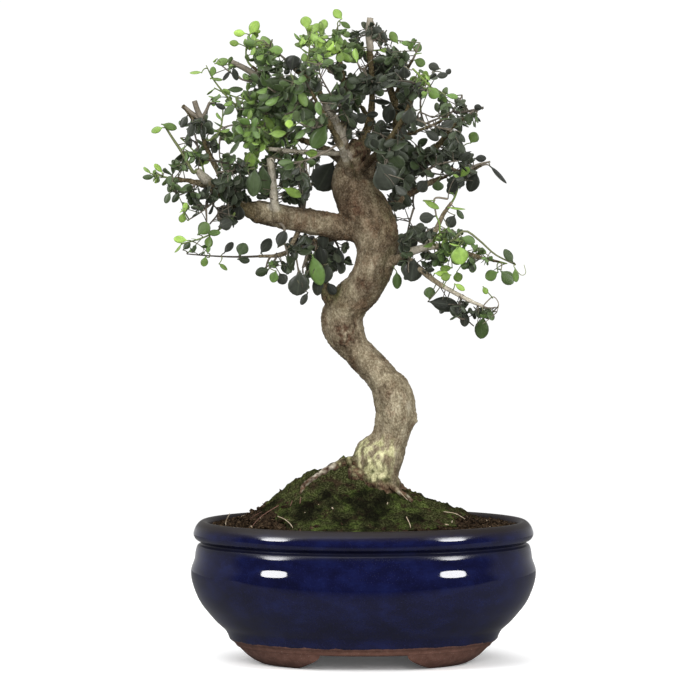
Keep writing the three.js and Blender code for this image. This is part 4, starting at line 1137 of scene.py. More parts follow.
def ground_grid(shares, segments):
    """Points of the ground's surface on rings that grow rounder and wave towards the middle."""
    share, angle = np.meshgrid(shares, np.linspace(0, 2 * math.pi, segments, endpoint=False), indexing="ij")
    inner = 1 - share
    fives, sevens = GROUND_WAVE
    wave = 1 + inner * (fives * np.sin(5 * angle) + sevens * np.sin(7 * angle + 1))
    x = share * GROUND_REACH * np.cos(angle) * wave
    y = share * GROUND_REACH * np.sin(angle) * wave * DEPTH_SHARE * (1 + GROUND_ROUNDING * inner)
    z = SOIL_LEVEL + mound_at(x, y)
    return np.stack([x, y, z], axis=-1).reshape(-1, 3)


def ground_height(x, y):
    """Height of the bare soil's surface at a point, without its roughness."""
    return SOIL_LEVEL + float(mound_at(np.array(x, float), np.array(y, float)))


def make_soil():
    top = ground_grid(SOIL_SHARES, SOIL_SEGMENTS)
    fade = np.clip((1.002 - SOIL_SHARES) / 0.04, 0, 1).repeat(SOIL_SEGMENTS)
    top[:, 2] += (relief_of(top, SOIL_LUMPS) - SOIL_SETTLED) * fade
    faces = closed_faces(len(SOIL_SHARES) + len(SOIL_UNDER), SOIL_SEGMENTS)
    skin = Skin()
    skin.add(np.concatenate([top, oval_rings(SOIL_UNDER, SOIL_SEGMENTS)]), faces[:, ::-1])
    add_grains(skin)
    soil = skin.to_object("potting_soil", [bare_soil(), dry_straw()])
    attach(soil, "root")
    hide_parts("soil")


def add_grains(skin):
    """Loose crumbs of bark and clay on the bare soil at the pot's ends."""
    draw = seeded(4211)
    cube = np.array([(x, y, z) for z in (-1, 1) for y in (-1, 1) for x in (-1, 1)], float)
    faces = np.array([(0, 2, 3, 1), (4, 5, 7, 6), (0, 1, 5, 4), (2, 6, 7, 3), (0, 4, 6, 2), (1, 3, 7, 5)])
    for _ in range(GRAINS):
        angle, share = 2 * math.pi * draw(), 0.5 + 0.48 * math.sqrt(draw())
        x = GROUND_REACH * share * math.cos(angle)
        y = GROUND_REACH * share * math.sin(angle) * DEPTH_SHARE
        size = GRAIN_SIZE[0] + GRAIN_SIZE[1] * draw() ** 3
        turn = np.array([scatter(draw).normalized() for _ in range(3)])
        corners = cube @ turn * size * np.array([1, 1, GRAIN_FLATNESS]) * (0.7 + 0.6 * draw())
        slot = 1 if draw() > 0.98 else 0
        skin.add(corners + np.array([x, y, ground_height(x, y) + 0.3 * size]), faces, slot)


def moss_edge(angle):
    """How far the moss reaches, as a share of the way to the wall."""
    wave = 0.05 * np.sin(3 * angle + 1) + 0.05 * np.sin(8 * angle) + 0.03 * np.sin(19 * angle)
    return MOSS_SHARE * (1 + wave)


def collar_at(x, y):
    height, middle_x, middle_y, along_x, along_y = MOSS_COLLAR
    reach = np.where(x < middle_x, along_x, along_x / 2)
    return height * np.exp(-(((x - middle_x) / reach) ** 2) - ((y - middle_y) / along_y) ** 2)


def moss_grid():
    """The ground's surface under the moss, on rings that end at its wavy edge."""
    lines = []
    for j, angle in enumerate(np.linspace(0, 2 * math.pi, MOSS_SEGMENTS, endpoint=False)):
        rings = ground_grid(MOSS_SHARES * moss_edge(angle), MOSS_SEGMENTS)
        lines.append(rings.reshape(-1, MOSS_SEGMENTS, 3)[:, j])
    return np.stack(lines, axis=1).reshape(-1, 3)


def moss_faces(count):
    """The faces of an upper and an under side, each with that many corners, and of the rim between."""
    upper = ring_faces(len(MOSS_SHARES), MOSS_SEGMENTS)
    column = np.arange(MOSS_SEGMENTS)
    a, b = count - MOSS_SEGMENTS + column, count - MOSS_SEGMENTS + (column + 1) % MOSS_SEGMENTS
    rim = np.stack([a + count, b + count, b, a], axis=1)
    caps = [cap_faces(0, MOSS_SEGMENTS, False), cap_faces(count, MOSS_SEGMENTS, True)]
    return np.concatenate([upper, upper[:, ::-1] + count, rim] + caps)[:, ::-1]


def make_moss():
    ground = moss_grid()
    top, count = ground.copy(), len(ground)
    rise = (1 - MOSS_SHARES**5).repeat(MOSS_SEGMENTS)
    lumps = relief_of(ground, MOSS_LUMPS)
    top[:, 2] += rise * (MOSS_DEEP + lumps) + MOSS_ABOVE + collar_at(top[:, 0], top[:, 1])
    light = painted_light_at(top)
    marks = np.zeros((2 * count, 4))
    marks[:count, 0] = light
    skin = Skin()
    skin.add(np.concatenate([top, ground - [0, 0, MOSS_BELOW]]), moss_faces(count), 0, marks)
    add_tufts(skin, top, light)
    add_litter(skin)
    piece = skin.to_object("moss_cushion", [living_moss(), moss_tuft(), dry_straw(), red_rootlet()])
    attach(piece, "root")
    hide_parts("moss")


def painted_light_at(surface):
    """Painted light and shade on the moss: painted shade in its hollows and below the trunk, and painted
    light in a few places.
    """
    light = 0.6 + relief_of(surface, MOSS_PAINTED_LIGHT)
    for *middle, reach, dark in PAINTED_SHADE_PLACES:
        light -= dark * nearness(surface[:, :2], middle, reach)
    return np.clip(light, 0.12, 1)


def greenness_at(surface, pile):
    """How green the moss is."""
    green = 0.35 + 1.2 * noise_at(surface, 9, seed=34)
    for *middle, reach, strength in GREEN_PLACES:
        green = np.maximum(green, strength * nearness(surface[:, :2], middle, reach) + 0.5 * pile)
    return np.clip(green, 0, 1)


def tuft(foot, draw):
    """The corners of a small pointed leaf of moss, the third of which is its tip."""
    lean = Vector((draw() - 0.5, draw() - 0.5, 0.45 + draw())).normalized()
    across = lean.cross(scatter(draw)).normalized()
    height, width = 0.8 + 1.6 * draw(), 0.22 + 0.26 * draw()
    base = foot - lean * TUFT_SUNK
    return np.array([base + across * width, base - across * width, base + lean * height,
                     base + lean.cross(across) * width])


def add_tufts(skin, surface, light):
    """The moss's pile. It stands thick in some places and leaves hollows."""
    draw = seeded(977)
    pile = noise_at(surface, 5, seed=35)
    green = greenness_at(surface, pile)
    faces = np.array([(0, 1, 2, 2), (0, 3, 1, 1), (1, 3, 2, 2), (0, 2, 3, 3)])
    for _ in range(TUFTS):
        pick = int(draw() ** 0.6 * len(surface))
        if pile[pick] < -0.12 + 0.4 * (draw() - 0.5):
            continue
        corners = tuft(Vector(surface[pick]), draw)
        chance = draw()
        marks = np.array([(tip, green[pick], light[pick], chance) for tip in (0, 0, 1, 0)])
        skin.add(corners, faces, 1, marks)


def fleck_depth(x, z):
    """How far in front of the tree's middle plane the moss is at that height."""
    covered = (depth for depth in range(60) if ground_height(x, -depth) + MOSS_DEEP < z + 1.5)
    return next(covered, 60)


def add_litter(skin):
    """Straws, rootlets and pale flecks that lie on the moss."""
    for slot, lines in ((2, STRAWS), (3, ROOTLETS)):
        for radius, points in lines:
            skin.add(*tube(points_on(Route(points), 14), np.linspace(radius, radius * 0.6, 15)), slot)
    draw = seeded(613)
    for x, z in FLECKS:
        way = Vector((draw() - 0.5, draw() - 0.8, draw() - 0.4)).normalized()
        place = Vector((x, -fleck_depth(x, z) - 1, z))
        skin.add(*tube([place - way, place + way], [0.45, 0.3]), 2)


# ---------------- leaves

STATIONS = np.array([0, 0.06, 0.14, 0.27, 0.42, 0.58, 0.73, 0.86, 0.95, 1.0])
LOOP_SIDE = np.array([-1, -0.5, 0, 0.5, 1, 1, 0, -1.0])
LOOP_TOP = np.array([1, 1, 1, 1, 1, 0, 0, 0.0])
LEAF_THICK = 0.32
STALK_RADIUS = 0.32
BLADE_START = 0.06
BLADE_FULLNESS = (1.0, 0.3)  # the widest place moves towards the tip as this grows
BLADE_ROUNDNESS = 0.55
BLADE_DROOP, BLADE_CURL, BLADE_TWIST, BLADE_SWAY = (0.04, 0.18), (0.1, 0.4), 0.9, 0.1
TOP_COLUMNS = 4  # of its faces' columns are its upper side


def blade_half(share, fullness):
    """Half the blade's width at a share of the leaf's length, as a share of its greatest."""
    along = np.clip((share - BLADE_START) / (1 - BLADE_START), 0, 1)
    taper = np.minimum(1, 0.3 + 2.6 * along)
    return np.sin(math.pi * along**fullness) ** BLADE_ROUNDNESS * taper


def leaf_faces():
    """The faces of a blade's upper side, and those of its underside and ends."""
    rings, sides = len(STATIONS), len(LOOP_SIDE)
    body = ring_faces(rings, sides)
    column = np.tile(np.arange(sides), rings - 1)
    caps = []
    for first, order in ((0, 1), ((rings - 1) * sides, -1)):
        for quad in ((7, 6, 1, 0), (6, 3, 2, 1), (6, 5, 4, 3)):
            caps.append([first + corner for corner in quad][::order])
    return body[column < TOP_COLUMNS], np.concatenate([body[column >= TOP_COLUMNS], np.array(caps)])


LEAF_TOP_FACES, LEAF_UNDER_FACES = leaf_faces()


class Leaf:
    """A leaf's foot, its directions, its size and how young it is."""

    def __init__(self, foot, along, face, length, width, age=0.0):
        self.foot, self.along = foot, along.normalized()
        self.face = square_to(face, self.along)
        self.across = self.along.cross(self.face)
        self.length, self.width, self.age = length, width, age

    def middle(self):
        return self.foot + self.along * self.length * 0.55

    def tip(self):
        return self.foot + self.along * self.length


def add_leaf(skin, leaf, draw, flatter=1.0):
    """A thin closed blade on a short stalk. Its edges roll down, and it bends down to its tip."""
    droop, curl = (flatter * (least + more * draw()) for least, more in (BLADE_DROOP, BLADE_CURL))
    twist, sway = BLADE_TWIST * flatter * (draw() - 0.5), BLADE_SWAY * (draw() - 0.5)
    fullness, chance = BLADE_FULLNESS[0] + BLADE_FULLNESS[1] * draw(), draw()
    share, side, top = STATIONS[:, None], LOOP_SIDE[None, :], LOOP_TOP[None, :]
    half = np.maximum(blade_half(share, fullness) * leaf.width / 2, STALK_RADIUS * (1 - 0.9 * share))
    thick = np.where(share < 0.1, STALK_RADIUS * 1.8, LEAF_THICK * (1 - 0.6 * share))
    x = share * leaf.length + 0 * side
    y = side * half + sway * leaf.length * share**2
    z = -curl * half * np.abs(side) ** 1.7 - droop * leaf.length * share**2 - (1 - top) * thick
    turn = twist * share
    y, z = y * np.cos(turn) - z * np.sin(turn), y * np.sin(turn) + z * np.cos(turn)
    place = np.stack([x, y, z], axis=-1).reshape(-1, 3)
    corners = place @ np.array([leaf.along, leaf.across, leaf.face]) + np.array(leaf.foot)
    marks = np.stack([np.abs(side) + 0 * share, share + 0 * side, np.full_like(x, leaf.age),
                      np.full_like(x, chance)], axis=-1).reshape(-1, 4)
    skin.add(corners, np.concatenate([LEAF_TOP_FACES, LEAF_UNDER_FACES]), 1, marks)
    skin.slots[-1][len(LEAF_TOP_FACES):] = 2


# ---------------- the crown as it looks from in front


# Where the crown is leafy: x and z on the tree's middle plane, reach, how young.
LEAFY_PLACES = [
    # the tips at the far left
    (-98, 319, 8, 0), (-103, 309, 4.5, 0), (-90, 307, 4.5, 0), (-84, 315, 3.5, 0.1), (-109, 295, 6, 0.15),
    (-118, 293, 3.5, 0.25), (-124, 289, 5, 0.6), (-113, 284, 5.5, 0.25), (-117, 278, 4, 0.2),
    (-101, 277, 6, 0.1), (-91, 277, 7, 0), (-80, 279, 8, 0), (-79, 267, 8, 0), (-98, 270, 4, 0),
    (-106, 269, 4, 0.8), (-82, 260, 5, 0), (-72, 286, 6, 0), (-82, 292, 5, 0.1), (-79, 300, 5, 0.15),
    (-104, 300, 5, 0.3), (-97, 300, 5, 0.05), (-71, 296, 6, 0), (-74, 274, 7, 0), (-86, 286, 5, 0),
    # left middle
    (-63, 286, 8, 0.1), (-66, 298, 6, 0.5), (-80, 311, 5, 0.4), (-72, 317, 8, 0.35), (-62, 315, 8, 0.45),
    (-73, 328, 6, 0.3), (-64, 329, 7, 0.25), (-55, 318, 7, 0.6), (-59, 308, 6, 0.5), (-67, 308, 5, 0.45),
    (-50, 311, 7, 0.4), (-48, 320, 7, 0.3), (-55, 327, 7, 0.12), (-41, 312, 6, 0.15), (-44, 304, 5, 0.4),
    (-38, 298, 7, 0.15), (-43, 289, 7, 0), (-46, 284, 5, 0), (-43, 276, 6, 0), (-59, 279, 5, 0),
    (-34, 290, 7, 0), (-34, 279, 7, 0), (-34, 271, 6, 0), (-56, 293, 7, 0.05), (-27, 293, 7, 0),
    (-23, 285, 5, 0), (-28, 302, 5, 0.1), (-55, 301, 5, 0.1), (-19, 311, 5, 0), (-47, 298, 6, 0.1),
    # top left
    (-65, 376, 5, 0.85), (-73, 373, 4.5, 0.9), (-75, 367, 4, 0.8), (-65, 368, 6, 0.6), (-55, 362, 6, 0.4),
    (-63, 360, 6, 0.35), (-80, 354, 5, 0.4), (-87, 356, 4, 0.5), (-77, 348, 4.5, 0.1), (-57, 353, 7, 0.25),
    (-67, 344, 5, 0.4), (-58, 344, 7, 0.15), (-49, 352, 6, 0.15), (-42, 355, 5, 0), (-88, 334, 4.5, 0.4),
    (-84, 328, 4.5, 0.1), (-76, 339, 4, 0.2), (-48, 342, 8, 0.1), (-47, 333, 8, 0.08), (-38, 339, 8, 0.15),
    (-38, 328, 8, 0.08), (-66, 336, 6, 0.4), (-56, 336, 7, 0.15),
    # top
    (-36, 369, 5.5, 0.7), (-27, 372, 7, 0.75), (-24, 363, 7, 0.6), (-15, 371, 6, 0.35), (-13, 362, 7, 0.45),
    (-31, 361, 5, 0.4), (-34, 352, 6, 0.1), (-25, 354, 6, 0.05), (-28, 344, 6, 0), (-15, 352, 6, 0.05),
    (-5, 372, 5, 0.05), (-4, 363, 6, 0.4), (3, 375, 6, 0), (10, 372, 6, 0), (14, 364, 5, 0), (3, 353, 8, 0),
    (12, 355, 7, 0), (20, 359, 7, 0.1), (27, 367, 5, 0.3), (24, 351, 6, 0), (32, 356, 4.5, 0.5),
    (36, 346, 5, 0.6), (34, 339, 5, 0), (26, 341, 6, 0), (16, 346, 7, 0), (4, 343, 7, 0), (-8, 343, 7, 0.05),
    (-15, 334, 8, 0), (-4, 334, 7, 0.1), (-20, 324, 7, 0.05), (-8, 323, 7, 0), (3, 322, 5, 0),
    (-28, 318, 7, 0.1), (-12, 313, 6, 0), (-4, 314, 5, 0), (10, 334, 5, 0), (8, 343, 5, 0), (13, 317, 5, 0),
    (15, 327, 6, 0), (24, 331, 8, 0), (27, 322, 6, 0),
    # middle right
    (8, 312, 8, 0), (14, 304, 8, 0), (23, 311, 7, 0), (31, 304, 8, 0), (24, 297, 8, 0), (12, 294, 7, 0),
    (36, 296, 7, 0.02), (43, 302, 7, 0.02), (21, 285, 9, 0), (31, 284, 5, 0), (24, 274, 6, 0.02),
    (18, 273, 6, 0), (19, 263, 4, 0), (36, 283, 4.5, 0), (44, 285, 4.5, 0.15), (48, 293, 5, 0.05),
    (44, 348, 4.5, 0), (40, 338, 4.5, 0.4), (49, 336, 5, 0.3), (47, 327, 6, 0.08), (57, 330, 5, 0.05),
    (57, 321, 6, 0.05), (65, 322, 5, 0.1), (47, 317, 6, 0), (56, 311, 6, 0.02), (66, 310, 4, 0.55),
    (49, 305, 6, 0), (57, 301, 8, 0), (61, 293, 6, 0), (68, 300, 4, 0.05), (65, 285, 5.5, 0), (55, 284, 6, 0),
    (68, 329, 3.5, 0), (40, 314, 5, 0),
    # lower right
    (39, 264, 5.5, 0), (40, 272, 4, 0.8), (55, 269, 4, 0.6), (30, 255, 7, 0), (22, 249, 7, 0),
    (38, 253, 5, 0), (26, 238, 6, 0.02), (29, 233, 6, 0), (38, 234, 5, 0), (50, 255, 6, 0.15),
    (57, 255, 4, 0.2), (48, 246, 6, 0.3), (57, 246, 7, 0.65), (58, 239, 5, 0.7), (50, 234, 4.5, 0.7),
    (45, 240, 6, 0.3), (36, 242, 5, 0.05), (55, 229, 5, 0.75), (63, 237, 5, 0.12), (68, 245, 5, 0.3),
    (73, 239, 4, 0.25), (79, 231, 5, 0.4), (86, 229, 5.5, 0.2), (85, 241, 4, 0.1), (40, 218, 4.5, 0.2),
    (47, 213, 6, 0), (58, 211, 6, 0), (60, 204, 4.5, 0), (66, 208, 5, 0), (70, 200, 5, 0.15),
    (74, 208, 5, 0.1), (72, 219, 3.5, 0.7),
    # lower left
    (-108, 250, 3.5, 0.85), (-103, 246, 4.5, 0.2), (-95, 256, 5, 0.45), (-94, 245, 4.5, 0.3),
    (-94, 239, 3.5, 0.5), (-81, 244, 4, 0.05), (-73, 244, 5, 0.1), (-59, 247, 5, 0), (-50, 250, 5, 0),
    (-42, 246, 6, 0), (-60, 231, 4, 0.1), (-53, 230, 5, 0.15), (-54, 237, 4, 0.2), (-46, 236, 5, 0.05),
    (-38, 226, 6, 0), (-31, 231, 5, 0), (-27, 224, 4, 0), (-34, 250, 7, 0), (-29, 237, 7, 0.15),
    (-24, 247, 7, 0), (-18, 239, 7, 0), (-20, 230, 5, 0), (-11, 247, 4, 0.1), (-9, 238, 3, 0.1),
]
OPEN_PLACES = [  # x, z, reach: where the backdrop shows through
    (-27, 281, 4.5), (-32, 273, 3), (-34, 293, 2.5), (2, 292, 2.5), (14, 338, 2.2), (10, 326, 2.5),
    (4, 330, 2), (1, 353, 3.5), (-23, 347, 4), (-6, 315, 1.5), (4, 316, 2), (36, 329, 6), (42, 322, 4.5),
    (38, 316, 3), (31, 310, 2.5), (55, 295, 2.5), (46, 277, 5), (12, 265, 3), (45, 290, 1.5), (-8, 226, 5),
    (-89, 323, 2.5), (-80, 305, 2.5), (-78, 325, 2), (-70, 251, 4), (-88, 296, 2), (24, 262, 4), (7, 365, 2),
    (62, 315, 2), (-101, 311, 2), (31, 241, 2),
]
# Leaves that stand out, as they are seen: x and z of the middle, length, width, the tip's angle, how young.
CLEAR_LEAVES = [
    (-122, 316, 7, 3.5, 200, 0.65), (-115, 318, 9, 4, -15, 0.5), (-67, 299, 10, 6.5, -95, 0.75),
    (-65, 376, 9, 5.5, 60, 0.85), (-73, 373, 7, 4, 175, 0.95), (-76, 367, 6, 3.5, 170, 0.85),
    (-34, 379, 7, 6, 90, 0.8), (-15, 384, 7, 5, 130, 0.75), (-11, 378, 7, 3, -30, 0.5),
    (-52, 363, 8, 5, 0, 0.45), (18, 370, 8, 4.5, 125, 0.7), (25, 367, 7, 3, -5, 0.4),
    (33, 356, 7, 5, -20, 0.5), (41, 338, 8, 6, -45, 0.5), (65, 311, 7, 6, 60, 0.55),
    (80, 290, 14, 3.5, -42, 0), (40, 272, 10, 4, -25, 0.85), (55, 270, 10, 3, 0, 0.8),
    (38, 264, 9, 6, 190, 0), (57, 266, 7, 3, -55, 0.1), (57, 242, 11, 9.5, -80, 0.7),
    (49, 229, 6, 4.5, 200, 0.95), (57, 223, 7, 3, -30, 1), (56, 229, 6, 5, -75, 0.7),
    (49, 234, 7, 3.5, 185, 0.7), (29, 233, 13, 11, -100, 0), (20, 227, 10, 5, -85, 0.3),
    (47, 213, 17, 8, -8, 0), (70, 199, 13, 7.5, -100, 0.25), (60, 204, 9, 5, -95, 0),
    (76, 230, 8, 6, 205, 0.45), (85, 229, 10, 7, -42, 0.2), (86, 241, 9, 4.5, 125, 0.1),
    (90, 230, 8, 3.5, -85, 0.5), (39, 219, 7, 6, 90, 0.25), (-38, 225, 14, 11, -95, 0),
    (-28, 233, 18, 8, -75, 0.4), (-42, 279, 11, 5, -25, 0.85), (-37, 297, 9, 5.5, -80, 0.5),
    (-44, 319, 5, 4.5, 90, 1), (13, 289, 17, 15, -60, 0), (-22.5, 289, 19, 15, -120, 0),
    (15, 326, 12, 7, -100, 0), (-1, 323, 7, 6, 200, 0), (5, 325, 7, 3.5, 5, 0), (10, 333, 11, 4, -5, 0),
    (40, 313, 10, 4.5, -35, 0), (44, 283, 6, 6, -90, 0.2), (35, 283, 8, 6.5, -130, 0),
    (65, 285, 12, 7, -110, 0), (53, 283, 8, 6.5, -120, 0), (-58, 247, 10, 6, 55, 0), (-49, 251, 10, 6, 70, 0),
    (-72, 245, 8, 6.5, 65, 0.1), (-80, 246, 8, 4, 50, 0), (-71, 239, 7, 4, -5, 0.05),
    (-105, 247, 6, 3.5, 50, 0.1), (-94, 238, 6, 4, -100, 0.5), (-108, 251, 8, 4, 170, 0.85),
    (-95, 257, 9, 7, 45, 0.45), (-89, 255, 8, 3.5, 5, 0.4), (-92, 245, 5, 2.5, 85, 0.4),
    (-83, 235, 6, 2.5, -35, 0.6), (-60, 232, 8, 5, 195, 0.1), (-53, 229, 7, 5, -110, 0.4),
    (-48, 228, 7, 6, -60, 0), (-35, 216, 8, 3.5, -120, 0), (-82, 260, 8, 7, 20, 0), (-106, 321, 8, 4, 240, 0),
    (-116, 276, 7, 3.5, 240, 0.1), (-111, 276, 7, 3.5, 235, 0.1), (-107, 264, 6, 4, -100, 0.8),
    (-42, 355, 9, 9, 80, 0), (-76, 349, 8, 3.5, -75, 0), (-81, 348, 7, 2.5, -130, 0),
    (-76, 340, 9, 3.5, 5, 0.25), (-85, 330, 7, 3, -25, 0), (-80, 327, 8, 4, 40, 0.15),
    (-99, 350, 7, 2, 178, 0.8), (-84, 356, 8, 4.5, 15, 0.55), (-89, 350, 6, 3.5, 80, 0.5),
    (-87, 346, 7, 2, -5, 0.7), (-77, 305, 10, 3, 55, 0.1), (-36, 335, 11, 5, -65, 0.55),
    (-3, 333, 7, 4.5, 85, 0.2), (4, 358, 8, 3.5, -45, 0.75), (12, 363, 6, 3, 5, 0.9),
    (-26, 312, 15, 9, -120, 0.4), (24, 350, 7, 6.5, -90, 0), (27, 324, 9, 8, -95, 0),
    (52, 336, 7, 3, -5, 0.4), (68, 329, 5, 3.5, 160, 0), (-65, 285, 16, 8, -95, 0.1),
    (-59, 286, 18, 8, -85, 0.1), (-74, 267, 9, 7, -100, 0), (-82, 268, 9, 7, 200, 0),
    (8, 375, 6, 4.5, -40, 0), (12, 371, 7, 3.5, -65, 0), (69, 299, 7, 4, 0, 0), (72, 221, 5, 3, -60, 0.75),
    (25, 275, 10, 5, -65, 0.05), (-31, 302, 7, 5, 0, 0.8), (-56, 320, 10, 5, -60, 0.75),
    (62, 322, 6, 5, 80, 0.1), (-127, 288, 7, 3, 185, 0.3), (-121, 293, 7, 3, 130, 0.9),
    (46, 348, 7, 3.5, 10, 0), (42, 353, 7, 4.5, 160, 0), (50, 350, 4, 3, 70, 0), (46, 231, 8, 3.5, 0, 0.95),
    (-27, 224, 12, 6, -95, 0), (62, 251, 8, 5, -20, 0.3), (52, 262, 8, 6, -120, 0),
    (-22, 231, 11, 7, -100, 0), (-25, 242, 11, 7, -80, 0), (-19, 222, 8, 5, -60, 0),
    (-24, 251, 10, 6, -95, 0),
]
# Twigs and stubs that show: points x and z, radius at both ends, how young, how pale.
CLEAR_TWIGS = [
    ([(-75, 330), (-82, 337), (-89, 346), (-93, 354)], 0.75, 0.3, 0.5, 0),
    ([(-70, 294), (-80, 296), (-90, 298)], 0.5, 0.8, 0, 0),
    ([(-96, 322), (-102, 326), (-107, 330)], 1.5, 1.5, 0, 0.8),
    ([(-95, 321), (-98, 327), (-100, 333)], 1.8, 1.6, 0, 0),
    ([(-96, 322), (-93, 327), (-91, 332)], 1.2, 0.8, 0, 0.5),
    ([(-63, 348), (-70, 352), (-78, 356)], 2, 1.5, 0, 0.35),
    ([(-101, 291), (-107, 302), (-113, 311), (-118, 319)], 1.1, 0.6, 0.35, 0),
    ([(-44, 335), (-41, 343), (-43, 349)], 0.7, 0.5, 0.6, 0.5),
    ([(4, 364), (3, 373), (4, 382)], 2.3, 2, 0, 0.9),
    ([(-7, 359), (2, 362), (10, 363)], 0.6, 0.5, 0.9, 0),
    ([(41, 339), (36, 345), (29, 352)], 0.6, 0.6, 0.8, 0),
    ([(55, 326), (63, 327), (71, 329)], 0.9, 0.7, 0, 0),
    ([(33, 326), (41, 323)], 0.5, 0.4, 0, 0.3),
    ([(61, 291), (67, 295), (75, 297)], 1, 0.6, 0, 0.7),
    ([(45, 255), (45, 260), (43, 265)], 0.5, 0.5, 0.9, 0),
    ([(52, 250), (60, 256), (69, 250), (78, 242), (90, 236)], 0.8, 0.5, 0.25, 0.4),
    ([(89, 235), (93, 230), (96, 231), (95, 236)], 0.35, 0.25, 0.5, 0.5),
    ([(73, 214), (77, 217), (80, 213), (79, 208)], 0.45, 0.3, 0, 0.4),
    ([(-47, 258), (-47, 251), (-45, 242)], 0.9, 0.5, 0, 0),
    ([(-32, 246), (-34, 240), (-36, 234)], 1, 0.7, 0, 0.7),
    ([(-86, 267), (-91, 260)], 0.5, 0.5, 0, 0),
    ([(42, 275), (50, 275)], 0.6, 0.7, 0, 0),
]
BARE_BRANCHES = ("left_main", "left_stub", "left_bar")
BARE_TRUNK_TOP = 300
BARE_LIMB_TOP = 326  # how far up the pale limb at the left of the crown shows
PALE_LIMB = "crown_left"


def seen(points):
    """Where points stand as the camera sees them, on the tree's middle plane: x, z and depth."""
    pitch = math.radians(CAMERA_PITCH)
    x, y, z = (np.atleast_2d(points) - np.array(AIM)).T
    away = CAMERA_DISTANCE + y * math.cos(pitch) - z * math.sin(pitch)
    up = (z * math.cos(pitch) + y * math.sin(pitch)) * CAMERA_DISTANCE / away
    height = up / (math.cos(pitch) + up * math.sin(pitch) / CAMERA_DISTANCE)
    return np.stack([AIM.x + x * CAMERA_DISTANCE / away, AIM.z + height, y], axis=1)


def camera_offset():
    """Where the camera stands from the point it looks at."""
    pitch = math.radians(CAMERA_PITCH)
    return Vector((0, -math.cos(pitch), math.sin(pitch))) * CAMERA_DISTANCE


def behind_view(x, z, y):
    """The point at depth y that the camera sees at x, z of the middle plane."""
    camera = AIM + camera_offset()
    on_plane = Vector((x, 0, z))
    return on_plane + (on_plane - camera) * (y / -camera.y)


# ---------------- shoots

SOLID_LEAF_SHARE = 0.88
SHORTEST_STEM = 0.3  # how much of a solid's main stem is shown where nothing grows from it
STEM_ROOTED = 3  # how deep a stem's foot is in its branch
TRUNK_POINTS, LIMB_POINTS = 160, 24
CARRIES_BELOW = 3.2  # the radius of the wood that twigs grow from


class Stem:
    """A stem's line, the stem it grows from with the share of the way there, and how far it is shown."""

    def __init__(self, line, parent=None, foot_share=0.0):
        self.line, self.parent, self.foot_share = line, parent, foot_share
        self.reach = 0.0 if parent else SHORTEST_STEM

    def show_to(self, share):
        self.reach = max(self.reach, share)
        if self.parent:
            self.parent.show_to(self.foot_share)


class Shoot:
    """A leafy shoot: its stems, and its leaves. One with no kind grows on the wood itself."""

    def __init__(self, name, kind=None, leaf_length=None, draw=None):
        self.name, self.kind, self.leaf_length, self.draw = name, kind, leaf_length, draw
        self.stems, self.leaves, self.twigs, self.shown = [], [], [], []
        self.foot = None

    def bear(self, stem, t, triangle, outward, spread):
        """A leaf on three corners of a stem."""
        leaf = leaf_of(mean(triangle), tangent(stem.line, t), outward, self.leaf_length, spread, self.draw)
        self.leaves.append((leaf, stem, t))


class Section:
    """The four corners round a stem's line. They keep square to it as the stem grows."""

    def __init__(self, line, foot):
        middle = mean(foot)
        self.line, self.offsets = line, [corner - middle for corner in foot]

    def ring_at(self, t):
        grain = tangent(self.line, t)
        self.offsets = [square_to(offset, grain) for offset in self.offsets]
        radius = STEM_RADII[0] + (STEM_RADII[1] - STEM_RADII[0]) * t
        return [self.line.at(t) + offset * radius for offset in self.offsets]

    def outward_of(self, side):
        return (self.offsets[side] + self.offsets[(side + 1) % 4]).normalized()

    def side_towards(self, way):
        return max(range(4), key=lambda side: self.outward_of(side).dot(way))


def stem_of(branch_name, share, tip):
    """The solid's own stem, and the direction in which it sets out."""
    first, last, points = BRANCHES[branch_name]
    branch = Route(points)
    steps = len(points) - 1
    step = min(steps - 1, int(share * steps))
    start = branch.at(step / steps).lerp(branch.at((step + 1) / steps), share * steps - step)
    grain = tangent(branch, share)
    tip = Vector(tip)
    if share == 1:
        return Arc(start + grain * CLEARANCE, grain, tip), grain
    out = square_to(tip - start, grain)
    return Arc(start + out * (first + (last - first) * share + CLEARANCE), out, tip), out


def leaf_of(foot, grain, outward, leaf_length, spread_degrees, draw):
    """The solid's own leaf, with the same draws."""
    spread = math.radians(spread_degrees + LEAF_SCATTER["spread"] * (draw() - 0.5))
    along = grain * math.cos(spread) + outward * math.sin(spread)
    along.z -= LEAF_SCATTER["hang"] * draw()
    along.normalize()
    face = scatter(draw) * LEAF_SCATTER["face"]
    face += Vector((grain.x, grain.y, 0)) * LIGHT_BEYOND + Vector((0, -LIGHT_FRONT, LIGHT_ABOVE))
    length = leaf_length * (1 + LEAF_SCATTER["length"] * (draw() - 0.5))
    width = length * LEAF_WIDTH_SHARE * (1 + LEAF_SCATTER["width"] * (draw() - 0.5))
    return Leaf(foot - along * LEAF_SUNK, along, face, (length + LEAF_SUNK) * SOLID_LEAF_SHARE,
                width * SOLID_LEAF_SHARE)


def side_twig(stem, section, t, side, low, high, tip):
    """The corners on one side of a stem that a side twig grows from, and the twig."""
    following = (side + 1) % 4
    outward = (section.outward_of(side) + tangent(stem.line, t) * SIDE_LEAN).normalized()
    quad = [low[side], low[following], high[following], high[side]]
    return quad, Stem(Arc(mean(quad), outward, tip), stem, t)


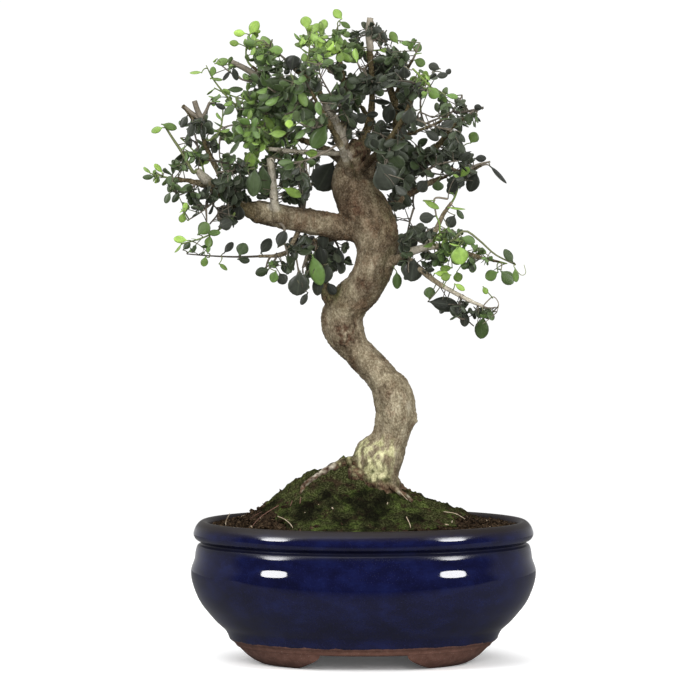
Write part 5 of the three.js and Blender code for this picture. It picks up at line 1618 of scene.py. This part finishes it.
def grow_stem(shoot, stem, foot, side_tips):
    """Grows a stem as the solid does, with pairs of leaves, and side twigs in place of some leaves."""
    length = length_of(stem.line)
    leafy, half_node = length - STEM_BARE, NODE_LENGTH / 2 / length
    pairs = max(1, math.floor(leafy / PAIR_SPACING + 0.5))
    tips = {i * pairs // (len(side_tips) + 1): Vector(tip) for i, tip in enumerate(side_tips, 1)}
    section = Section(stem.line, foot)
    twigs = []
    for pair in range(pairs):
        t = (STEM_BARE + leafy * pair / pairs) / length
        low, high = section.ring_at(t - half_node), section.ring_at(t + half_node)
        opened = None
        if pair in tips:
            opened = section.side_towards(tips[pair] - stem.line.at(t))
            twigs.append(side_twig(stem, section, t, opened, low, high, tips[pair]))
        for side in (pair % 2, pair % 2 + 2):
            if side != opened:
                corners = [low[side], low[(side + 1) % 4], high[(side + 1) % 4]]
                shoot.bear(stem, t, corners, section.outward_of(side), LEAF_SPREAD)
    end = section.ring_at(1)
    shoot.bear(stem, 1, end[:3], section.offsets[1], TIP_SPREAD)
    shoot.bear(stem, 1, [end[0], end[2], end[3]], section.offsets[3], TIP_SPREAD)
    shoot.stems.append(stem)
    for quad, twig in twigs:
        grow_stem(shoot, twig, quad, [])


def shoot_of(kind, index, row, number):
    branch, share, tip, leaf_length, side_tips = row
    draw = seeded(SEED_STEP * (index + FIRST_SEED[kind]))
    shoot = Shoot(f"{kind}_{branch}_{number}", kind, leaf_length, draw)
    line, out = stem_of(branch, share, tip)
    grain = tangent(line, 0)
    level = Vector((0, 0, 1)).cross(grain).normalized()
    upright = grain.cross(level)
    foot = [line.at(0) + offset * STEM_RADII[0] for offset in (level, upright, -level, -upright)]
    grow_stem(shoot, Stem(line), foot, side_tips)
    shoot.foot = line.at(0) - out * STEM_ROOTED
    return shoot


def all_shoots():
    shoots = []
    for kind, table in (("spray", OLD_SHOOTS), ("young_shoot", YOUNG_SHOOTS)):
        counts = {}
        for index, row in enumerate(table):
            counts[row[0]] = counts.get(row[0], 0) + 1
            shoots.append(shoot_of(kind, index, row, counts[row[0]]))
    return shoots


def limb_line(limb):
    """Points on the middle of a root or branch, with the radius there."""
    first, last, points = limb
    places = points_on(Route(points), LIMB_POINTS)
    return [(*place, first + (last - first) * i / LIMB_POINTS) for i, place in enumerate(places)]


def wood_points():
    """Points on the middle of all the wood with its radius there, and which of them carry twigs."""
    points = [(*place, False) for place in points_on(Route(TRUNK), TRUNK_POINTS)]
    for name, limb in limbs_shown().items():
        points += [(*place, name not in ROOTS and place[3] < CARRIES_BELOW) for place in limb_line(limb)]
    return np.array(points, float)


# ---------------- the filling of the crown

FAR_STALK = 9  # a leaf further than this from its twig stands behind it
LEAVES_PER_AREA = 0.42  # leaves in a leafy place for each square millimetre of its reach
LEAF_MARGIN = 1.7  # how far inside a leafy place the middle of a leaf stays
SOLID_MARGIN = -1.5
CARRIER_MARGIN = -3.5
FINE_TWIG = 0.36  # radius of the twigs that carry most leaves
TWIG_REACH = 14  # how far from a leafy place its twigs start, as it is seen
TWIG_DEPTH = 26  # over how much depth their tips are spread
TWIG_BEND, TWIG_ENDS, MOST_PAIRS = 0.45, (FINE_TWIG, 0.18), 4
CROWN_DEPTH = 72
CLEAR_SWELL = (1.08, 1.15)  # a leaf that curls and turns is longer and broader than it looks
SPARSE_REACH = 5.5
GREENER_LEFT, GREENER_ABOVE = 0.2, 300  # the old leaves at the left of the crown are greener
LEAF_GAP = 0.33  # between the middles of two leaves, as a share of a leaf's length
NODE_GAP = 3.6  # between two pairs of leaves on a fine twig
LEAFY_SHARE, TWIG_FOOT = 0.7, 0.2  # how much of a fine twig bears leaves, and where it never does
TWIG_LEAF, TWIG_LEAF_PER_REACH = (5.6, 9.2), 1.15
STEM_SHARES = [i / 8 for i in range(2, 8)]  # where twigs may grow from a solid's stem
TIP_MARGIN = 3.5  # how far a leaf's tip may be past what its middle keeps to
OPEN_MARGIN, CLEAR_MARGIN, BARE_MARGIN, WOOD_MARGIN = 0.22, 0.2, 0.36, 0.3  # shares of a leaf's length
BEHIND = 2  # how far a leaf stays behind what shows in front of it


def held(places, x, z, more=0.0):
    """Which places hold a seen place. A place is x, z and reach, and then anything else."""
    return np.hypot(places[:, 0] - x, places[:, 1] - z) < places[:, 2] + more


class Crown:
    """What stands in the crown so far, and what may still be added to it."""

    def __init__(self):
        self.places = np.array(LEAFY_PLACES)
        self.open = np.array(OPEN_PLACES)
        self.wood = wood_points()
        self.middles = np.zeros((0, 3))
        self.clear = np.zeros((0, 4))
        self.carriers, self.owners = [], []
        limbs = limbs_shown()
        bare = [place[:4] for place in self.wood[:TRUNK_POINTS + 1] if place[2] < BARE_TRUNK_TOP]
        bare += [place for name in BARE_BRANCHES for place in limb_line(limbs[name])]
        bare += [place for place in limb_line(limbs[PALE_LIMB]) if place[2] < BARE_LIMB_TOP]
        bare = np.array(bare)
        x, z, depth = seen(bare[:, :3]).T
        self.bare = np.stack([x, z, bare[:, 3], depth], axis=1)

    def youth_at(self, x, z, margin):
        """How young the leafy place is that holds a seen place, or nothing outside them all."""
        inside = self.places[:, 2] - margin - np.hypot(self.places[:, 0] - x, self.places[:, 1] - z)
        best = int(inside.argmax())
        if inside[best] <= 0:
            return None
        return self.places[best, 3] + (GREENER_LEFT if x < 0 and z > GREENER_ABOVE else 0)

    def is_sparse(self, x, z):
        """Whether a seen place is in no large leafy place, so that each leaf shows there."""
        return not (held(self.places, x, z) & (self.places[:, 2] > SPARSE_REACH)).any()

    def is_leafy(self, leaf, margin):
        """Whether a leaf is seen in leafy places."""
        (x, z, _), (tip_x, tip_z, _) = seen([leaf.middle(), leaf.tip()])
        return (self.youth_at(x, z, margin) is not None
                and self.youth_at(tip_x, tip_z, margin - TIP_MARGIN) is not None)

    def hides(self, leaf):
        """Whether a leaf closes an open place, or hides a clear leaf or bare wood."""
        x, z, depth = seen(leaf.middle())[0]
        if held(self.open, x, z, OPEN_MARGIN * leaf.length).any():
            return True
        close = held(self.clear, x, z, CLEAR_MARGIN * leaf.length)
        if (close & ((depth < self.clear[:, 3] + BEHIND) | self.is_sparse(x, z))).any():
            return True
        close = held(self.bare, x, z, BARE_MARGIN * leaf.length)
        return (close & (depth < self.bare[:, 3] + BEHIND)).any()

    def is_free(self, leaf, margin, gap):
        """Whether a leaf has room, hides nothing that shows, and leaves open places open."""
        if not self.is_leafy(leaf, margin) or self.hides(leaf):
            return False
        middle = np.array(leaf.middle())
        from_wood = np.linalg.norm(self.wood[:, :3] - middle, axis=1) - self.wood[:, 3]
        from_leaves = np.linalg.norm(self.middles - middle, axis=1)
        return not ((from_wood < WOOD_MARGIN * leaf.length).any() or (from_leaves < gap * leaf.length).any())

    def take(self, shoot, leaf, flatter=1.0):
        self.middles = np.concatenate([self.middles, [np.array(leaf.middle())]])
        shoot.shown.append((leaf, flatter))

    def carry(self, points, owner):
        """Twigs may grow from these points, which belong to a shoot's own twigs or to the wood."""
        self.carriers += [np.array(point) for point in points]
        self.owners += [(owner, None, 0.0)] * len(points)

    def carry_stem(self, stem, shares, owner):
        """Twigs may grow from a solid's stem where it is among leaves."""
        for share in shares:
            place = np.array(stem.line.at(share))
            x, z, _ = seen(place)[0]
            if self.youth_at(x, z, CARRIER_MARGIN) is not None:
                self.carriers.append(place)
                self.owners.append((owner, stem, share))

    def grow_from(self, pick):
        """The place and the shoot of a carrier, which shows from now on."""
        owner, stem, share = self.owners[pick]
        if stem:
            stem.show_to(share)
        return Vector(self.carriers[pick]), owner

    def nearest_carrier(self, x, z, toward_front=0.06):
        """The carrier that is seen nearest to a place. Of two as near, the one in front."""
        places = seen(self.carriers)
        away = np.hypot(places[:, 0] - x, places[:, 1] - z) + toward_front * (places[:, 2] + CROWN_DEPTH)
        return int(away.argmin())


def add_clear_twigs(crown, steps=16):
    for points, first, last, young, pale in CLEAR_TWIGS:
        start, owner = crown.grow_from(crown.nearest_carrier(*points[0]))
        route = Route([start] + [behind_view(x, z, start.y - 1.5) for x, z in points])
        shown = points_on(route, steps)
        radii = np.interp(np.linspace(0, 1, steps + 1), [0, 1 / len(points), 1], [first, first, last])
        owner.twigs.append((shown, radii, young, pale))
        crown.carry(shown[4:], owner)


def broad_face(along, width, broad, draw):
    """The direction that a leaf faces if it is turned until it looks only so wide."""
    lean = math.acos(min(1, width / broad))
    flat_face = Vector((0, -1, 0.15 + 0.35 * draw()))
    side = along.cross(flat_face).normalized()
    return flat_face.normalized() * math.cos(lean) + side * math.sin(lean) * (1 if side.z > 0 else -1)


def add_clear_leaves(crown, draw):
    """The leaves that stand out, each on a thin stalk from the nearest twig, a little in front of it."""
    for x, z, length, width, angle, young in CLEAR_LEAVES:
        a, length, width = math.radians(angle), length * CLEAR_SWELL[0], width * CLEAR_SWELL[1]
        along = Vector((math.cos(a), 0.12 * (draw() - 0.5), math.sin(a)))
        foot_x, foot_z = x - along.x * length / 2, z - along.z * length / 2
        start, owner = crown.grow_from(crown.nearest_carrier(foot_x, foot_z))
        far = math.hypot(foot_x - start.x, foot_z - start.z) > FAR_STALK
        foot = behind_view(foot_x, foot_z, start.y + (BEHIND if far else -3 - 2 * draw()))
        broad = max(width, 0.45 * length)
        face = broad_face(along, width, broad, draw)
        crown.take(owner, Leaf(foot, along, face, length, broad, young), 0.5)
        crown.clear = np.concatenate([crown.clear, [[x, z, 0.25 * (length + width), foot.y]]])
        stalk = Arc(start, (along + Vector((0, -0.4, 0.3))).normalized(), foot + along * 0.3)
        owner.twigs.append((points_on(stalk, 6), np.linspace(0.4, 0.3, 7), 0.6 * young + 0.1, 0))


def add_solid_leaves(crown, shoots, draw):
    """Keeps the solids' own leaves where the crown is leafy, and shows their stems as far as these."""
    for shoot in shoots:
        for leaf, stem, share in shoot.leaves:
            if crown.is_free(leaf, SOLID_MARGIN, 0.3):
                x, z, _ = seen(leaf.middle())[0]
                leaf.age = crown.youth_at(x, z, SOLID_MARGIN) * (0.7 + 0.5 * draw()) + 0.1 * draw()
                if shoot.kind == "young_shoot":
                    leaf.age = max(leaf.age, 0.5 + 0.3 * draw())
                crown.take(shoot, leaf)
                stem.show_to(share)


def add_stems(shoot):
    """The solid's own stems, as far as anything grows from them."""
    young = 0.55 if shoot.kind == "young_shoot" else 0.0
    for stem in shoot.stems:
        if stem.reach:
            points = points_on(stem.line, 14, stem.reach)
            if not stem.parent:
                points.insert(0, shoot.foot)
            shoot.twigs.append((points, np.linspace(0.8, 0.4, len(points)), young, 0))


def twig_leaf(foot, grain, outward, size, youth, spread, front, draw):
    """A leaf of a fine twig. It faces up, and out of the crown. Its twig is young, and a tip is more so."""
    spread = math.radians(spread + 30 * (draw() - 0.5))
    along = grain * math.cos(spread) + outward * math.sin(spread)
    along.z -= 0.25 * draw()
    outside = Vector((foot.x + 8, foot.y, 0)).normalized()
    face = scatter(draw) * 1.5 + outside * 0.5
    face += Vector((0, -0.35 if front else 0.35, 0.5))
    leaf = Leaf(foot, along, face, size, size * (0.5 + 0.22 * draw()))
    young, more = youth
    leaf.age = min(1, young * (0.4 + 1.1 * draw()) + 0.07 * draw() + more)
    return leaf


def grow_twig(crown, pick, tip, leaf_length, young, draw):
    """A fine twig from a carrier, with pairs of leaves near its end. Returns how many leaves found room."""
    start, owner = Vector(crown.carriers[pick]), crown.owners[pick][0]
    way = (tip - start).normalized()
    direction = (way + Vector((draw() - 0.5, draw() - 0.5, 0.5 * draw())) * 0.4).normalized()
    line = Arc(start, direction, tip, TWIG_BEND)
    length = length_of(line, 12)
    across = way.cross(scatter(draw)).normalized()
    grown = 0
    for pair in range(min(MOST_PAIRS, max(1, round(length * LEAFY_SHARE / NODE_GAP)))):
        t = 1 - pair * NODE_GAP / length
        if t < TWIG_FOOT:
            break
        grain = tangent(line, t)
        across = grain.cross(square_to(across, grain))
        size = leaf_length * (0.72 + 0.5 * draw())
        spread, more = (LEAF_SPREAD, 0) if pair else (TIP_SPREAD, 0.12 * young)
        for outward in (across, -across):
            leaf = twig_leaf(line.at(t), grain, outward, size, (young, more), spread, start.y < 20, draw)
            if crown.is_free(leaf, LEAF_MARGIN, LEAF_GAP):
                crown.take(owner, leaf)
                grown += 1
    if grown:
        crown.grow_from(pick)
        owner.twigs.append((points_on(line, 5), np.linspace(*TWIG_ENDS, 6), 0.6 * young, 0))
    return grown


def fill_place(crown, place, tree_places, draw):
    """Grows twigs into one leafy place from what carries leaves near it, at all depths."""
    x, z, reach, young = place
    away = np.hypot(tree_places[:, 0] - x, tree_places[:, 1] - z)
    near = np.flatnonzero(away < TWIG_REACH)
    if len(near) < 3:
        near = np.argsort(away)[:6]
    chances = np.cumsum(np.exp(-((away[near] / 6) ** 2)) + 1e-6)
    leaf_length = min(TWIG_LEAF[1], max(TWIG_LEAF[0], TWIG_LEAF_PER_REACH * reach))
    wanted, grown = LEAVES_PER_AREA * reach**2, 0
    for _ in range(int(1.6 * wanted) + 4):
        if grown >= wanted:
            break
        pick = near[int(np.searchsorted(chances, draw() * chances[-1]))]
        angle, out = 2 * math.pi * draw(), (reach - LEAF_MARGIN) * math.sqrt(draw())
        depth = Vector(crown.carriers[pick]).y + TWIG_DEPTH * (draw() - 0.5)
        depth = max(-CROWN_DEPTH, min(CROWN_DEPTH, depth))
        tip = behind_view(x + out * math.cos(angle), z + out * math.sin(angle), depth)
        grown += grow_twig(crown, pick, tip, leaf_length, young, draw)


def shoot_piece(shoot, finishes, draw):
    skin = Skin()
    for points, radii, young, pale in shoot.twigs:
        corners, faces = tube(points, radii, 6 if radii[0] > FINE_TWIG else 4)
        skin.add(corners, faces, 0, np.tile([pale, 0, young, draw()], (len(corners), 1)))
    for leaf, flatter in shoot.shown:
        add_leaf(skin, leaf, draw, flatter)
    name = shoot.name.replace("spray", "leaves").replace("young_shoot", "young_leaves")
    piece = skin.to_object(name, finishes)
    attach(piece, "root")
    if shoot.kind:
        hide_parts(shoot.name)


def make_shoots():
    finishes = [twig_bark(), leaf_face(), leaf_back()]
    shoots = all_shoots()
    sides = {"left": Shoot("short_twigs_left"), "right": Shoot("short_twigs_right")}
    crown = Crown()
    for x, y, z, _, carries in crown.wood:
        if carries:
            crown.carry([(x, y, z)], sides["left" if x < 0 else "right"])
    for shoot in shoots:
        for stem in shoot.stems:
            crown.carry_stem(stem, STEM_SHARES, shoot)
    draw = seeded(104729)
    add_clear_twigs(crown)
    add_clear_leaves(crown, draw)
    add_solid_leaves(crown, shoots, draw)
    tree_places = seen(crown.carriers)
    for place in LEAFY_PLACES:
        fill_place(crown, place, tree_places, draw)
    for shoot in shoots + list(sides.values()):
        add_stems(shoot)
        shoot_piece(shoot, finishes, draw)


# ---------------- studio

CAMERA_DISTANCE, CAMERA_PITCH = 3500.0, 3.63  # millimetres from the tree, and degrees down
AIM = Vector((-8.0, 0.0, 185.4))
VIEW_WIDTH = 414.75  # seen across the frame at the tree
SENSOR = 36.0

SOFTBOX_AZIMUTH, SOFTBOX_ELEVATION, SOFTBOX_DISTANCE = 53.3, 23.3, 1.65  # degrees, and metres
SOFTBOX_SIZE, SOFTBOX_POWER = (0.5, 0.36), 10
SOFTBOX_AIM = 0.12  # metres above the floor
TOP_LIGHT, TOP_LIGHT_SPREAD, TOP_LIGHT_LEAN = 2.1, 80, (12, -14)
FILL_AZIMUTH, FILL_ELEVATION, FILL_SIZE, FILL_POWER = 8, 14, 1.0, 22
PAPER_FRONT, PAPER_REACH = 210, 700  # the paper's edge in front of the pot, and its reach to all other sides
SEEN_PAPER, MIRRORED_PAPER, PAPER_GLOW = 1.2, 0.22, 0.06
PAPER_FADE = 80  # the paper darkens towards its front edge, as the pot mirrors it
SEEN_WORLD = 1.05
WORLD_RING = [(0.0, 0.055), (0.4, 0.06), (0.5, 0.3), (0.75, 0.35), (1.0, 0.6)]  # from the front to the back


def make_camera():
    camera = linked("camera", bpy.data.cameras.new("camera"))
    camera.location = np.array(AIM + camera_offset()) * MM + POT_MIDDLE
    camera.rotation_euler = (math.pi / 2 - math.radians(CAMERA_PITCH), 0, 0)
    camera.data.sensor_width = SENSOR
    camera.data.lens = SENSOR * CAMERA_DISTANCE / VIEW_WIDTH
    camera.data.clip_end = 50
    bpy.context.scene.camera = camera


def make_softbox(name, azimuth, elevation=SOFTBOX_ELEVATION, size=SOFTBOX_SIZE, power=SOFTBOX_POWER):
    """A softbox that looks at the tree. Azimuth 0 is in front of the pot, and turns to its right."""
    lamp = bpy.data.lights.new(name, "AREA")
    lamp.shape = "ELLIPSE"
    lamp.size, lamp.size_y = size
    lamp.energy = power
    softbox = linked(name, lamp)
    a, e = math.radians(azimuth), math.radians(elevation)
    way = Vector((math.sin(a) * math.cos(e), -math.cos(a) * math.cos(e), math.sin(e)))
    softbox.location = Vector(POT_MIDDLE) + Vector((0, 0, SOFTBOX_AIM)) + way * SOFTBOX_DISTANCE
    softbox.rotation_euler = way.to_track_quat("Z", "Y").to_euler()
    return softbox


def make_top_light():
    lamp = bpy.data.lights.new("top_light", "SUN")
    lamp.energy = TOP_LIGHT
    lamp.angle = math.radians(TOP_LIGHT_SPREAD)
    linked("top_light", lamp).rotation_euler = (*map(math.radians, TOP_LIGHT_LEAN), 0)


def make_world():
    """White to the camera. To the object, a room that is dark in front and paler at the sides and behind."""
    world = bpy.data.worlds.new("studio")
    bpy.context.scene.world = world
    w = Nodes(world)
    way = w.node("SeparateXYZ", {0: w.node("TexCoord").outputs["Generated"]}).outputs[1]
    backwards = w.node("MapRange", {"Value": way, "From Min": -1}).outputs[0]
    lit = w.node("Background", {"Color": w.ramp(backwards, *WORLD_RING)}).outputs[0]
    shown = w.node("Background", {"Color": (1, 1, 1), "Strength": SEEN_WORLD}).outputs[0]
    w.to_camera(shown, lit, "World Output")


def pale_paper():
    """White paper that the pot mirrors as grey, as it would a sheet in a dim room."""
    m = material("pale_paper")
    edge = POT_MIDDLE[1] - PAPER_FRONT * MM
    fade = m.node("MapRange", {"Value": m.place(1), "From Min": edge, "From Max": edge + PAPER_FADE * MM,
                               "To Max": MIRRORED_PAPER}).outputs[0]
    mirrored = m.node("BsdfDiffuse", {"Color": m.grey(fade)}).outputs[0]
    paper = m.node("BsdfDiffuse", {"Color": (SEEN_PAPER,) * 3}).outputs[0]
    glow = m.node("Emission", {"Strength": PAPER_GLOW}).outputs[0]
    shown = m.node("AddShader", {0: paper, 1: glow}).outputs[0]
    m.to_camera(shown, mirrored, "Material Output")
    return m.owner


def make_floor():
    left, right, back = -PAPER_REACH, PAPER_REACH, PAPER_REACH
    corners = [(left, -PAPER_FRONT, 0), (right, -PAPER_FRONT, 0), (right, back, 0), (left, back, 0)]
    mesh_object("floor", corners, [(0, 1, 2, 3)], [pale_paper()])


def make_studio():
    make_world()
    make_floor()
    make_top_light()
    make_softbox("softbox_left", -SOFTBOX_AZIMUTH)
    make_softbox("softbox_right", SOFTBOX_AZIMUTH)
    fill = make_softbox("fill", FILL_AZIMUTH, FILL_ELEVATION, (FILL_SIZE, FILL_SIZE), FILL_POWER)
    fill.visible_glossy = False  # the glaze doesn't mirror it
    bpy.context.scene.view_settings.view_transform = "Standard"
    bpy.context.scene.view_settings.look = "None"


make_camera()
make_studio()
make_pot()
make_netting()
make_soil()
make_moss()
make_wood()
make_shoots()
